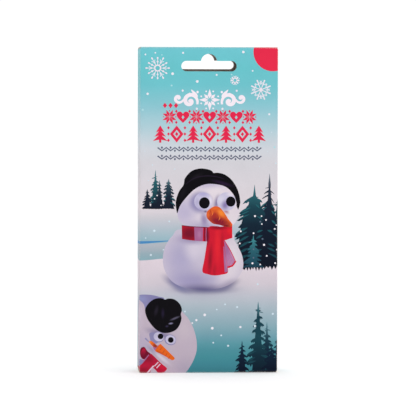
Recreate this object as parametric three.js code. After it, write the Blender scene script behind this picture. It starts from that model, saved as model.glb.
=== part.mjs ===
// A slim hang-sell carton of folded paperboard: four upright panels, a hang slot through
// the front and the back, a lid that tucks in at the top and a glued base.
// Millimetres, +Z up. The origin is the middle of the base, and the front faces -Y.
// Every panel between two creases is its own solid, because a crease is where board turns.
import * as THREE from "three";

// Driving dimensions of the closed carton.
const WIDTH = 80;
const DEPTH = 22;
const HEIGHT = 188;
const BOARD = 0.5; // thickness of the paperboard
const SEAM = 0.1; // clearance between two panels that meet at a crease

// Hang slot: a round-ended slot with a round crown, which a display peg slides into.
const SLOT_WIDTH = 32;
const SLOT_BELOW_TOP = 14; // from the carton's top down to the front slot's lower edge
const FRONT_SLOT_HEIGHT = 6;
const REAR_SLOT_HEIGHT = 5;
const REAR_SLOT_LIFT = 1.6; // the rear slot's lower edge sits this much higher
const CROWN_RADIUS = 4.7;
const CROWN_RISE = 4.1; // the crown's top above the slot's upper edge
const ARC_STEPS = 8;

// Flaps.
const LID_CLEARANCE = 0.25; // between the lid's free edge and the rear panel
const TAB_LENGTH = 13;
const TAB_HALF_WIDTH = 38.4;
const TAB_LEAN = THREE.MathUtils.degToRad(20); // the tab leans into the carton, so it swings clear
const TAB_DROP = 0.13; // from the lid's underside down to the tab's crease
const TAB_CORNER = 5;
const TAB_RELIEF_HALF_WIDTH = 18; // the tab is cut away behind the hang slot
const TAB_RELIEF_TOP = 2.5; // the strip left between the tab's crease and the relief
const DUST_LENGTH = 22;
const DUST_TAPER = 0.3; // how fast a dust flap narrows, so that it can rise behind the lid
const DUST_BACK_MARGIN = 2.5; // room for the tuck tab to pass the dust flaps
const DUST_CORNER = 3;
const GLUE_WIDTH = 14;
const GLUE_TAPER = 6;
const GLUE_END_MARGIN = 4;
const BASE_INNER_LENGTH = 15;
const EDGE_RELIEF = 0.2; // a flap is this much narrower than the carton at each end

const halfWidth = WIDTH / 2;
const halfDepth = DEPTH / 2;
const frontInside = -halfDepth + BOARD;
const rearInside = halfDepth - BOARD;
const layer = BOARD + SEAM; // one thickness of board in a stack of flaps

const PRINT_TEAL = 0x6cc4cc;
const PRINT_SNOW = 0xd9d3dc;
const RAW_BOARD = 0x8d7a6c;

/** A closed outline through the given [x, y] points. */
function polygon(points) {
  return new THREE.Shape(points.map(([x, y]) => new THREE.Vector2(x, y)));
}

/** A rectangle from (x0, y0) to (x1, y1). */
function rectangle(x0, y0, x1, y1) {
  return polygon([
    [x0, y0],
    [x1, y0],
    [x1, y1],
    [x0, y1],
  ]);
}

/** The hang slot's outline, with its lower edge at the given height. */
function hangSlot(lowerEdge, slotHeight) {
  const end = slotHeight / 2;
  const middle = lowerEdge + end;
  const upperEdge = lowerEdge + slotHeight;
  const crownCentre = upperEdge + CROWN_RISE - CROWN_RADIUS;
  const crownFoot = Math.asin((upperEdge - crownCentre) / CROWN_RADIUS);
  const straight = SLOT_WIDTH / 2 - end;
  const slot = new THREE.Path();
  slot.absarc(straight, middle, end, -Math.PI / 2, Math.PI / 2, false);
  slot.absarc(0, crownCentre, CROWN_RADIUS, crownFoot, Math.PI - crownFoot, false);
  slot.absarc(-straight, middle, end, Math.PI / 2, 1.5 * Math.PI, false);
  slot.closePath();
  return slot;
}

/** Board cut to an outline, lying flat with its underside at Z = 0. */
function flatBoard(outline) {
  return new THREE.ExtrudeGeometry(outline, {
    depth: BOARD,
    bevelEnabled: false,
    curveSegments: ARC_STEPS,
  });
}

/** The same board stood up to face -Y, with its inner face at Y = 0. */
function facingFront(outline) {
  return flatBoard(outline).rotateX(Math.PI / 2);
}

/** The same board stood up to face +X, with the outline's x axis along +Y. */
function facingSide(outline) {
  return facingFront(outline).rotateZ(Math.PI / 2);
}

/** A named piece of board at the given place. */
function piece(name, geometry, colour, x = 0, y = 0, z = 0) {
  const material = new THREE.MeshStandardMaterial({
    color: colour,
    roughness: 0.55,
    metalness: 0,
  });
  const mesh = new THREE.Mesh(geometry, material);
  mesh.name = name;
  mesh.position.set(x, y, z);
  return mesh;
}

/** The four upright panels, and the flap that joins the rear one to the right side. */
function makeSleeve() {
  const slotEdge = HEIGHT - SLOT_BELOW_TOP;
  const frontOutline = rectangle(-halfWidth, layer, halfWidth, HEIGHT - layer);
  frontOutline.holes.push(hangSlot(slotEdge, FRONT_SLOT_HEIGHT));
  const rearOutline = rectangle(-halfWidth, 2 * layer, halfWidth, HEIGHT);
  rearOutline.holes.push(hangSlot(slotEdge + REAR_SLOT_LIFT, REAR_SLOT_HEIGHT));
  const sideOutline = rectangle(
    frontInside + SEAM,
    3 * layer,
    rearInside - SEAM,
    HEIGHT - 2 * layer,
  );
  const glueLow = 3 * layer + GLUE_END_MARGIN;
  const glueHigh = HEIGHT - 2 * layer - GLUE_END_MARGIN;
  const glueOutline = polygon([
    [rearInside - SEAM, glueLow],
    [rearInside - SEAM, glueHigh],
    [rearInside - SEAM - GLUE_WIDTH, glueHigh - GLUE_TAPER],
    [rearInside - SEAM - GLUE_WIDTH, glueLow + GLUE_TAPER],
  ]);

  const sleeve = new THREE.Group();
  sleeve.add(
    piece("front_panel", facingFront(frontOutline), PRINT_TEAL, 0, frontInside),
    piece("back_panel", facingFront(rearOutline), PRINT_TEAL, 0, halfDepth),
    piece("left_side_panel", facingSide(sideOutline), PRINT_TEAL, -halfWidth),
    piece("right_side_panel", facingSide(sideOutline), PRINT_TEAL, halfWidth - BOARD),
    piece("glue_flap", facingSide(glueOutline), RAW_BOARD, halfWidth - BOARD - layer),
  );
  return sleeve;
}

/** The tuck tab's outline: x across the carton, y down from the tab's crease. */
function tabOutline() {
  const outer = TAB_HALF_WIDTH;
  const relief = TAB_RELIEF_HALF_WIDTH;
  const tip = -TAB_LENGTH;
  const tab = new THREE.Shape();
  tab.moveTo(-outer, 0);
  tab.lineTo(-outer, tip + TAB_CORNER);
  tab.absarc(-outer + TAB_CORNER, tip + TAB_CORNER, TAB_CORNER, Math.PI, 1.5 * Math.PI, false);
  tab.lineTo(-relief, tip);
  tab.lineTo(-relief, -TAB_RELIEF_TOP);
  tab.lineTo(relief, -TAB_RELIEF_TOP);
  tab.lineTo(relief, tip);
  tab.lineTo(outer - TAB_CORNER, tip);
  tab.absarc(outer - TAB_CORNER, tip + TAB_CORNER, TAB_CORNER, -Math.PI / 2, 0, false);
  tab.lineTo(outer, 0);
  return tab;
}

/** The lid, creased to the front panel's top, with its tuck tab inside the rear panel. */
function makeLid() {
  const freeEdge = rearInside - LID_CLEARANCE;
  const lidOutline = rectangle(
    -halfWidth + EDGE_RELIEF,
    -halfDepth,
    halfWidth - EDGE_RELIEF,
    freeEdge,
  );
  // The tab turns about the inner edge of its crease, one board's thickness in from the lid's edge.
  const tab = new THREE.Group();
  tab.position.set(0, freeEdge - BOARD * Math.cos(TAB_LEAN), HEIGHT - BOARD - TAB_DROP);
  tab.rotation.x = -TAB_LEAN;
  tab.add(piece("top_tuck_tab", facingFront(tabOutline()), PRINT_TEAL, 0, BOARD));

  const lid = new THREE.Group();
  lid.add(piece("top_lid", flatBoard(lidOutline), PRINT_TEAL, 0, 0, HEIGHT - BOARD), tab);
  return lid;
}

/** A dust flap that reaches in from the left; side is -1 for the left one, 1 for the right. */
function dustFlap(side, rearEdge) {
  const front = frontInside + SEAM;
  const tip = -halfWidth + DUST_LENGTH;
  const points = [
    [-halfWidth, front],
    [tip - DUST_CORNER, front + DUST_TAPER * (DUST_LENGTH - DUST_CORNER)],
    [tip, front + DUST_TAPER * DUST_LENGTH + DUST_CORNER],
    [tip, rearEdge - DUST_CORNER],
    [tip - DUST_CORNER, rearEdge],
    [-halfWidth, rearEdge],
  ];
  // Mirroring an outline reverses it, and Shape puts its winding right when it is extruded.
  return flatBoard(polygon(points.map(([x, y]) => [-side * x, y])));
}

/** The flaps that the side panels turn in under the lid and over the base. */
function makeDustFlaps() {
  const flaps = new THREE.Group();
  const topHeight = HEIGHT - BOARD - layer;
  const baseHeight = 2 * layer;
  for (const [word, side] of [
    ["left", -1],
    ["right", 1],
  ]) {
    const top = dustFlap(side, rearInside - DUST_BACK_MARGIN);
    const base = dustFlap(side, rearInside - SEAM);
    flaps.add(
      piece(`top_dust_flap_${word}`, top, PRINT_SNOW, 0, 0, topHeight),
      piece(`base_dust_flap_${word}`, base, PRINT_SNOW, 0, 0, baseHeight),
    );
  }
  return flaps;
}

/** The glued base: the front panel's flap outside, the rear panel's flap within. */
function makeBase() {
  const outer = rectangle(
    -halfWidth + EDGE_RELIEF,
    -halfDepth,
    halfWidth - EDGE_RELIEF,
    halfDepth - EDGE_RELIEF,
  );
  const inner = rectangle(
    -halfWidth + EDGE_RELIEF,
    halfDepth - BASE_INNER_LENGTH,
    halfWidth - EDGE_RELIEF,
    halfDepth,
  );
  const base = new THREE.Group();
  base.add(
    piece("base_outer_flap", flatBoard(outer), PRINT_TEAL),
    piece("base_inner_flap", flatBoard(inner), RAW_BOARD, 0, 0, layer),
  );
  return base;
}

const carton = new THREE.Group();
carton.add(makeSleeve(), makeLid(), makeDustFlaps(), makeBase());

export default carton;
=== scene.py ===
"""A slim hang-sell carton of printed paperboard, dressed for rendering.

The carton is made as the real one is: artwork is laid out on a flat blank, the blank is cut
along its outline and its hang slots, and the board is then folded along its creases. A place
on the flat blank is (across, up) in millimetres, with the front panel's lower left corner at
the origin. Everything in the scene is in metres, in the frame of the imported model.
"""

from __future__ import annotations

import logging
import random
from dataclasses import dataclass, field
from enum import Enum
from math import asin, copysign, cos, degrees, hypot, pi, radians, sin
from typing import Any, Callable, Iterable

import bpy
import numpy as np
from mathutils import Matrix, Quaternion, Vector
from mathutils.geometry import delaunay_2d_cdt


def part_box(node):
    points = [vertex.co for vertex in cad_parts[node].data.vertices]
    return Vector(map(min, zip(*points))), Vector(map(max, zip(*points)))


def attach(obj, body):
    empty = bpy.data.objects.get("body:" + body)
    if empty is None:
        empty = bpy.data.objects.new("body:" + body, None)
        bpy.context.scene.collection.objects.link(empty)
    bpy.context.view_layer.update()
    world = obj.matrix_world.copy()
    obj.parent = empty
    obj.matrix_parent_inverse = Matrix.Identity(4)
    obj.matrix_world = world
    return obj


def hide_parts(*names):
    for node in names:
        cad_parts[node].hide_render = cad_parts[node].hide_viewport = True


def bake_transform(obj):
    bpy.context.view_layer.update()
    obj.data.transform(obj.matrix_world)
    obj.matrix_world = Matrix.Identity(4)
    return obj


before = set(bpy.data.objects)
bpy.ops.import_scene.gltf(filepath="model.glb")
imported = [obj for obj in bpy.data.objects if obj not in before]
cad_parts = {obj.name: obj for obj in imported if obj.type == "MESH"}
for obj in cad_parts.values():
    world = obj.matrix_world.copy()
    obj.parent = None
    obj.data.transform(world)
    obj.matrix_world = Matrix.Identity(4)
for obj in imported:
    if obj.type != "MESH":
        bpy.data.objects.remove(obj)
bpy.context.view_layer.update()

LOG = logging.getLogger("carton")

MM = 0.001
TAU = 2 * pi

Point = tuple[float, float]
Loop = list[Point]
Triple = tuple[float, float, float]


# --- Shader maths ---


def linear(code: str) -> tuple[float, float, float, float]:
    """The linear colour that a printed colour such as "#6cc9d0" stands for.

    Args:
        code: The colour as a hash and six hexadecimal digits, in sRGB.

    Returns:
        Red, green, blue and an alpha of 1, ready for a colour socket.
    """
    parts = [int(code[k : k + 2], 16) / 255 for k in (1, 3, 5)]
    out = [c / 12.92 if c <= 0.04045 else ((c + 0.055) / 1.055) ** 2.4 for c in parts]
    return out[0], out[1], out[2], 1


class Wire:
    """A node's output, on which Python's operators add Math nodes."""

    def __init__(self, bench: Bench, socket: bpy.types.NodeSocket) -> None:
        """Keeps the bench that adds the nodes, and the output itself."""
        self.bench = bench
        self.socket = socket

    def _math(self, operation: str, *values: Wire | float) -> Wire:
        """The result of a Math node with that operation on those values."""
        return self.bench.add("ShaderNodeMath", {"operation": operation}, dict(enumerate(values)))

    def __add__(self, other: Wire | float) -> Wire:
        """self + other."""
        return self._math("ADD", self, other)

    def __sub__(self, other: Wire | float) -> Wire:
        """self - other."""
        return self._math("SUBTRACT", self, other)

    def __mul__(self, other: Wire | float) -> Wire:
        """self * other."""
        return self._math("MULTIPLY", self, other)

    def __truediv__(self, other: Wire | float) -> Wire:
        """self / other."""
        return self._math("DIVIDE", self, other)

    def step(self, low: float, high: float, start: float = 0, end: float = 1) -> Wire:
        """A smooth step of this value.

        Args:
            low: The value at which the step begins.
            high: The value at which it ends.
            start: The result below low.
            end: The result above high.

        Returns:
            The stepped value.
        """
        settings = {"interpolation_type": "SMOOTHSTEP"}
        sockets = {"Value": self, "From Min": low, "From Max": high, "To Min": start, "To Max": end}
        return self.bench.add("ShaderNodeMapRange", settings, sockets)


Feed = Wire | float | str | tuple


class Bench:
    """Adds nodes to one material's tree."""

    def __init__(self, tree: bpy.types.NodeTree) -> None:
        """Keeps the tree, emptied."""
        self.tree = tree
        tree.nodes.clear()

    def add(
        self,
        kind: str,
        settings: dict[str, Any] | None = None,
        sockets: dict[str | int, Feed] | None = None,
        output: str | int = 0,
    ) -> Wire:
        """Adds a node.

        Args:
            kind: The node's type.
            settings: Its properties, set first; "stops" fills a colour ramp.
            sockets: A value, a colour code or a wire for each input, by name or number.
            output: The output to return, by name or number.

        Returns:
            That output.
        """
        node = self.tree.nodes.new(kind)
        for name, value in (settings or {}).items():
            if name == "stops":
                self._fill_ramp(node, value)
            else:
                setattr(node, name, value)
        for key, value in (sockets or {}).items():
            socket = node.inputs[key]
            if isinstance(value, Wire):
                self.tree.links.new(value.socket, socket)
            else:
                is_code = isinstance(value, str) and value.startswith("#")
                socket.default_value = linear(value)[: len(socket.default_value)] if is_code else value
        return Wire(self, node.outputs[output])

    @staticmethod
    def _fill_ramp(node: bpy.types.Node, stops: Iterable[tuple[float, str]]) -> None:
        """Gives a colour ramp its stops, each a place from 0 to 1 and a colour code.

        Args:
            node: The ramp.
            stops: Its stops, in order.
        """
        elements = node.color_ramp.elements
        for index, (place, code) in enumerate(stops):
            element = elements[index] if index < 2 else elements.new(place)
            element.position = place
            element.color = linear(code)

    def mix(self, below: Feed, above: Feed, amount: Feed) -> Wire:
        """The colour below, covered by the colour above as far as amount says."""
        sockets = {0: amount, 6: below, 7: above}
        return self.add("ShaderNodeMix", {"data_type": "RGBA"}, sockets, 2)

    def noise(self, place: Wire, scale: float, detail: float = 2) -> Wire:
        """Plain noise from 0 to 1 at that scale."""
        sockets = {"Vector": place, "Scale": scale, "Detail": detail}
        return self.add("ShaderNodeTexNoise", None, sockets, "Fac")

    def attribute(self, name: str, output: str = "Fac") -> Wire:
        """One of the piece's own attributes."""
        return self.add("ShaderNodeAttribute", {"attribute_name": name}, None, output)

    def end(self, surface: Wire) -> None:
        """Joins the shader to the material's output."""
        output = self.tree.nodes.new("ShaderNodeOutputMaterial")
        self.tree.links.new(surface.socket, output.inputs["Surface"])


# --- Inks: what each printed area is coloured with ---


@dataclass(frozen=True)
class Spot:
    """A soft ellipse of another tint inside a printed area, as an airbrush would lay it."""

    across: float
    up: float
    half_width: float
    half_height: float
    tint: str
    strength: float
    tilt_deg: float = 0
    softness: float = 0.95


@dataclass(frozen=True)
class Ink:
    """A printed tint: one colour, or a gradient up the blank, with soft spots over it."""

    stops: tuple[tuple[float, str], ...]
    spots: tuple[Spot, ...] = ()

    def colour(self, bench: Bench, place: Wire) -> Feed:
        """The ink's colour at a place on the blank.

        Args:
            bench: Adds the nodes.
            place: The place on the blank, in millimetres.

        Returns:
            A colour code or a wire.
        """
        shade: Feed = self.stops[0][1]
        if len(self.stops) > 1:
            low, high = self.stops[0][0], self.stops[-1][0]
            up = bench.add("ShaderNodeSeparateXYZ", None, {0: place}, "Y")
            stops = [((at - low) / (high - low), code) for at, code in self.stops]
            shade = bench.add("ShaderNodeValToRGB", {"stops": stops}, {0: (up - low) / (high - low)})
        for spot in self.spots:
            sockets = {
                "Vector": place,
                "Location": (spot.across, spot.up, 0),
                "Rotation": (0, 0, radians(spot.tilt_deg)),
                "Scale": (spot.half_width, spot.half_height, 1),
            }
            local = bench.add("ShaderNodeMapping", {"vector_type": "TEXTURE"}, sockets)
            reach = bench.add("ShaderNodeVectorMath", {"operation": "LENGTH"}, {0: local}, "Value")
            shade = bench.mix(shade, spot.tint, reach.step(1 - spot.softness, 1, spot.strength, 0))
        return shade


def flat(code: str, *spots: Spot) -> Ink:
    """An ink of one colour, with its soft spots."""
    return Ink(((0, code),), spots)


class Tint(Enum):
    """Every ink of the print, with its recipe."""

    SKY = Ink(
        (
            (95, "#dad0d6"), (108, "#d4ced4"), (122, "#d0ced4"), (129, "#cdd1d8"), (135, "#c0ced6"),
            (141, "#aecbd4"), (147, "#a0c8d2"), (153, "#8cc3ce"), (159, "#7ec1cb"), (166, "#6ec0c9"),
            (176, "#68c0c7"), (188, "#6fc3cd"),
        )
    )
    FAR_SNOW = Ink(
        (
            (75.5, "#8fb2bd"), (78.5, "#9bb6c1"), (83, "#aebcc6"), (86.5, "#bdc1cb"), (89.5, "#c8c6cd"),
            (93, "#d6ced5"),
        )
    )
    STREAM = flat("#4a87bc")
    BANK = Ink(((66, "#89a9b3"), (69, "#95aab4"), (71.5, "#a4aeb8"), (74, "#aeb3bc")))
    SNOW = Ink(
        (
            (0, "#3c7c86"), (4, "#418592"), (9, "#468d97"), (13, "#4e909b"), (17, "#5c98a3"),
            (21, "#6f9eab"), (26, "#84a7b2"), (32, "#97afba"), (38, "#a9b7c1"), (44, "#bbbec8"),
            (51, "#cec5ce"), (58, "#d6cad3"), (66, "#dbced7"),
        ),
        (
            Spot(38, 48.4, 24, 4.2, "#463f6c", 0.98, 0, 0.98),
            Spot(21.4, 51.4, 12.5, 4.6, "#5a5a8c", 0.85, -32),
            Spot(51, 50.6, 10, 3.6, "#5f5a7d", 0.8, 24),
            Spot(36, 49, 33, 9, "#8a8aae", 0.35),
        ),
    )
    SNOW_DOT = flat("#eae5ec")
    DOT_FAINT = flat("#a9d5dc")
    FLAKE = flat("#ecdfe9")
    FLAKE_SOFT = flat("#cddbe5")
    TITLE_WHITE = flat("#f1e5ee")
    TITLE_RED = flat("#df274c")
    DISC_RED = flat("#e22b4a")
    SLATE = flat("#565b72")
    WHITE = flat("#ece8ee")
    FIR_FAR = Ink(((94, "#10121f"), (98, "#152231"), (103, "#1d424d"), (110, "#265a63"), (117, "#5b878f")))
    FIR_FAR_DARK = Ink(((94, "#131827"), (102, "#1a2434"), (108, "#2c4350"), (112, "#5f7f88")))
    FIR_TALL = Ink(((58, "#0d1220"), (74, "#0f1727"), (86, "#132635"), (96, "#1c424e"), (106, "#306a73")))
    FIR_NAVY = Ink(((58, "#0d1220"), (80, "#101a2a"), (98, "#182637"), (107, "#2a3445"), (115, "#737a88")))
    FIR_FRONT = Ink(((58, "#14283a"), (66, "#235060"), (72, "#2c626e"), (79, "#438d95")))
    FIR_STROKE = Ink(((0, "#1b4450"), (56, "#183742"), (75, "#1b4550"), (95, "#235c65")))
    FIR_FAINT = flat("#56687a")
    FIR_LOW = Ink(((0, "#0d1c2b"), (10, "#122d3b"), (20, "#194450"), (32, "#173c49"), (40, "#4e7f8a")))
    FIR_LOW_DARK = Ink(((0, "#0b1426"), (12, "#102438"), (20, "#1c3d4c"), (29, "#54808c")))
    BODY = flat(
        "#c9bfce",
        Spot(24, 66, 16, 22, "#a7a0c2", 0.85), Spot(31, 53, 23, 10, "#9a93b9", 0.9),
        Spot(50, 56, 9, 4, "#d3c8d3", 0.6, 28), Spot(36, 47.4, 25, 5.6, "#5a5480", 0.95),
        Spot(52, 50.8, 9, 4.4, "#8b819e", 0.7, 25), Spot(32, 71, 9, 10, "#d0c7d6", 0.9, 20),
        Spot(53, 66, 10, 17, "#dad0d8", 0.95, -8, 0.9), Spot(31, 77.4, 13, 4.6, "#8d7da6", 0.8),
        Spot(37, 62, 6, 12, "#b5abc6", 0.25, 10),
    )
    HEAD = flat(
        "#d9ced8",
        Spot(26, 93, 12, 14, "#b5acca", 0.85, -15), Spot(38, 84.4, 18, 6, "#a79ebf", 0.85),
        Spot(39, 109.5, 17, 5, "#b7adca", 0.75), Spot(44, 104.5, 9, 4, "#dfd5dc", 0.9),
        Spot(53, 90, 6, 8, "#dcd1d8", 0.9), Spot(35.3, 98.6, 8.3, 7.9, "#8780ad", 0.85, 0, 0.5),
        Spot(44.6, 98.2, 2.6, 7, "#857a9f", 0.95, -13), Spot(37.4, 88.8, 3.4, 6.5, "#8c7ba6", 0.85, 8),
        Spot(50, 93.4, 3, 1.7, "#a5748c", 0.9, -40), Spot(38.2, 93.2, 1.6, 1, "#63577a", 0.9),
    )
    EYE = flat(
        "#c4bed7",
        Spot(36.6, 103.4, 5, 2.4, "#aaa3cb", 0.9, 0, 0.9),
        Spot(33.2, 98.4, 1.8, 4.6, "#a9a3c6", 0.7, 0, 0.9),
        Spot(35.2, 94.2, 5, 2.2, "#a49dc4", 0.85, -18, 0.9),
        Spot(41, 99.6, 1.8, 3.8, "#ded6e3", 0.9, 0, 0.9),
        Spot(46.8, 100.4, 3.4, 3.6, "#d3cedf", 0.9, 0, 0.9),
        Spot(49.5, 97, 3.2, 4.2, "#7a6ca2", 0.9, -10), Spot(53, 103.2, 4, 1.8, "#ddd5e0", 0.9, 0, 0.9),
        Spot(9, 22, 2.4, 3, "#b6b1cb", 0.9, 0, 0.9), Spot(19.4, 18, 2.6, 1.9, "#b5aecb", 0.8, 0, 0.9),
    )
    PUPIL = flat("#0d0b11")
    CARROT_RING = flat("#a83324")
    CARROT_GLOW = flat("#ef8137")
    FRINGE = flat("#dcc4d6")
    MELT_SHADE = flat(
        "#8682ac",
        Spot(0, 43, 7, 3, "#8d93bd", 0.8, 0, 0.9), Spot(9, 43, 7, 3, "#7f7da9", 0.8, 0, 0.9),
        Spot(6, 20, 4, 6, "#8c88ab", 0.7, 0, 0.9),
    )
    HAT = flat(
        "#0c0a0f",
        Spot(48, 109.6, 9, 1.6, "#2c1b38", 0.8, -16), Spot(33, 113.5, 6, 2, "#1b181e", 0.8, 28),
        Spot(25, 103.5, 2.2, 6, "#19161d", 0.7, -24),
    )
    HAT_BAND = flat("#241a2b")
    CARROT = flat(
        "#d5592a",
        Spot(47.3, 92.4, 4.2, 2.6, "#f28a34", 0.95, -48), Spot(43.4, 91.4, 3.4, 2.8, "#a32c2b", 0.75),
        Spot(46, 87.4, 9.8, 4.2, "#82182d", 0.97, -20, 0.8), Spot(42.8, 91, 2.6, 2.2, "#a82f2e", 0.8),
        Spot(39.6, 91.4, 1.2, 2.6, "#dd6a33", 0.9), Spot(43.6, 95, 3.2, 1.2, "#e9682a", 0.8, 6),
        Spot(51.6, 88.6, 3.2, 1.1, "#f0702c", 0.9, -56), Spot(53.2, 86.2, 0.9, 1.5, "#f4662a", 0.9),
        Spot(50.2, 85, 3.4, 1, "#6f1024", 0.85, -10),
    )
    SCARF = flat(
        "#cb1b31",
        Spot(29, 80.5, 11, 8, "#6f1228", 0.95, 0, 0.9), Spot(45.2, 74, 3, 17, "#e02532", 0.9),
        Spot(47.8, 75, 1.5, 9, "#a31829", 0.6, -2), Spot(43.4, 59, 1.8, 6, "#9a1c2b", 0.5, -3),
        Spot(40.9, 65.4, 2.1, 13, "#8e1628", 0.85, -3), Spot(52.8, 82, 3.5, 3.4, "#e2252d", 0.8),
        Spot(39.2, 79, 1.9, 8, "#741a34", 0.95, 0, 0.85), Spot(45.4, 84, 8, 2, "#7d1226", 0.85),
    )
    SCARF_DARK = flat("#6f112a")
    SCARF_STRIPE = flat(
        "#a2608c",
        Spot(34.6, 80, 2, 3.6, "#b0779f", 0.8), Spot(53, 65, 5, 9, "#bd86ac", 0.9, 0, 0.8),
    )
    SCARF_LINE = flat("#a06896")
    MELT = flat(
        "#bdaebd",
        Spot(-1, 33, 5, 12, "#c8bacb", 0.8, 0, 0.9), Spot(26, 26, 8, 11, "#c3b5c0", 0.9),
        Spot(2, 15, 7, 12, "#aaa0bd", 0.55), Spot(26, 2, 10, 10, "#ab9eb2", 0.7),
        Spot(12, 22.6, 12, 3.4, "#7b7499", 0.9, -18), Spot(8, 12.6, 7, 1.8, "#8d86a8", 0.8, -46),
        Spot(13, 8.6, 9, 1.6, "#d3c9d6", 0.9, -38),
    )
    MELT_HAT = flat(
        "#0d0b10",
        Spot(18.2, 28.6, 1.8, 0.7, "#8581a0", 0.95, 8, 0.8),
        Spot(20.6, 31.6, 4.2, 0.9, "#5a566a", 0.9, 22, 0.9),
        Spot(16, 27, 1.4, 0.9, "#332d48", 0.9, 8, 0.9), Spot(9.8, 36, 1.6, 4.5, "#241f2b", 0.9, -14),
        Spot(13.6, 34.5, 1.4, 4, "#241d33", 0.9),
    )
    MELT_SCARF = flat(
        "#b31a3a",
        Spot(2.4, 9.6, 5, 5, "#73142f", 0.95, 0, 0.9), Spot(14, 3.4, 5, 3, "#d21f3c", 0.85, -30),
        Spot(6, 8, 3, 4, "#8e1731", 0.8, 40), Spot(2.5, 1, 6, 3.4, "#8a152c", 0.8),
    )
    MELT_CARROT = flat(
        "#e2641f",
        Spot(12.4, 11, 6, 1.6, "#bd4420", 0.8, -32), Spot(9.2, 15.6, 2.4, 1.8, "#8a3028", 0.95, -40, 0.9),
        Spot(6.2, 17.8, 1.6, 1, "#f08c32", 0.9, 0, 0.9),
    )
    CARD_WHITE = flat("#f0edf1")
    CARD_LINE = flat("#7fb9c4")
    CARD_SNOW = flat("#cfd9e4")
    CARD_SHADE = flat("#b6bcd6")


# --- Outlines on the flat blank ---


def ellipse(
    centre: Point,
    half_width: float,
    half_height: float,
    steps: int = 24,
    tilt_deg: float = 0,
    power: float = 2,
) -> Loop:
    """A closed round outline.

    Args:
        centre: Its middle.
        half_width: Half its width.
        half_height: Half its height.
        steps: How many points it has.
        tilt_deg: How far it is turned anticlockwise.
        power: 2 for an ellipse, more for squarer shoulders.

    Returns:
        The outline, anticlockwise.
    """
    turn = radians(tilt_deg)
    loop = []
    for k in range(steps):
        angle = TAU * k / steps
        c, s = cos(angle), sin(angle)
        x = half_width * copysign(abs(c) ** (2 / power), c)
        y = half_height * copysign(abs(s) ** (2 / power), s)
        across = centre[0] + x * cos(turn) - y * sin(turn)
        loop.append((across, centre[1] + x * sin(turn) + y * cos(turn)))
    return loop


def disc(centre: Point, radius: float, steps: int = 12) -> Loop:
    """A round dot."""
    return ellipse(centre, radius, radius, steps)


def smooth(points: list[Point], steps: int = 5, closed: bool = True) -> Loop:
    """A Catmull-Rom curve through some points.

    Args:
        points: The points that it passes through, in order.
        steps: How many straight steps it takes from each point to the next.
        closed: Whether it runs back to its first point.

    Returns:
        The points of the curve.
    """
    count = len(points)
    loop = []
    for k in range(count if closed else count - 1):
        if closed:
            a, b, c, d = (points[(k + j) % count] for j in (-1, 0, 1, 2))
        else:
            a, b, c, d = (points[min(max(k + j, 0), count - 1)] for j in (-1, 0, 1, 2))
        for i in range(steps):
            t = i / steps
            w = (
                (-t + 2 * t**2 - t**3) / 2,
                (2 - 5 * t**2 + 3 * t**3) / 2,
                (t + 4 * t**2 - 3 * t**3) / 2,
                (t**3 - t**2) / 2,
            )
            loop.append(tuple(w[0] * a[n] + w[1] * b[n] + w[2] * c[n] + w[3] * d[n] for n in (0, 1)))
    if not closed:
        loop.append(points[-1])
    return loop


def placed(loop: Loop, at: Point, scale: float = 1, tilt_deg: float = 0, mirror: bool = False) -> Loop:
    """A loop drawn about the origin, put somewhere else.

    Args:
        loop: The loop.
        at: Where its origin goes.
        scale: How much it grows.
        tilt_deg: How far it is turned anticlockwise.
        mirror: Whether left and right are swapped first.

    Returns:
        The loop in its new place.
    """
    c, s = cos(radians(tilt_deg)) * scale, sin(radians(tilt_deg)) * scale
    side = -1 if mirror else 1
    return [(at[0] + side * x * c - y * s, at[1] + side * x * s + y * c) for x, y in loop]


def stroke(line: list[Point], width: Callable[[float], float]) -> Loop:
    """The outline of a brush stroke.

    Args:
        line: The points along its middle.
        width: Its width for a share of the way along, from 0 to 1.

    Returns:
        The closed outline.
    """
    left, right = [], []
    last = len(line) - 1
    for k, (x, y) in enumerate(line):
        (x0, y0), (x1, y1) = line[max(k - 1, 0)], line[min(k + 1, last)]
        length = hypot(x1 - x0, y1 - y0) or 1
        half = width(k / last) / 2
        nx, ny = -(y1 - y0) / length * half, (x1 - x0) / length * half
        left.append((x + nx, y + ny))
        right.append((x - nx, y - ny))
    return left + right[::-1]


def spiral(
    centre: Point, outer: float, inner: float, start_deg: float, turn_deg: float
) -> list[Point]:
    """Points along a spiral from its outer end to its inner end.

    Args:
        centre: Its middle.
        outer: The radius at which it starts.
        inner: The radius at which it ends.
        start_deg: Its first point's direction, anticlockwise from the right.
        turn_deg: How far round it runs.

    Returns:
        The points.
    """
    line, steps = [], 26
    for k in range(steps + 1):
        t = k / steps
        radius = outer + (inner - outer) * t**0.8
        angle = radians(start_deg + turn_deg * t)
        line.append((centre[0] + radius * cos(angle), centre[1] + radius * sin(angle)))
    return line


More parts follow.
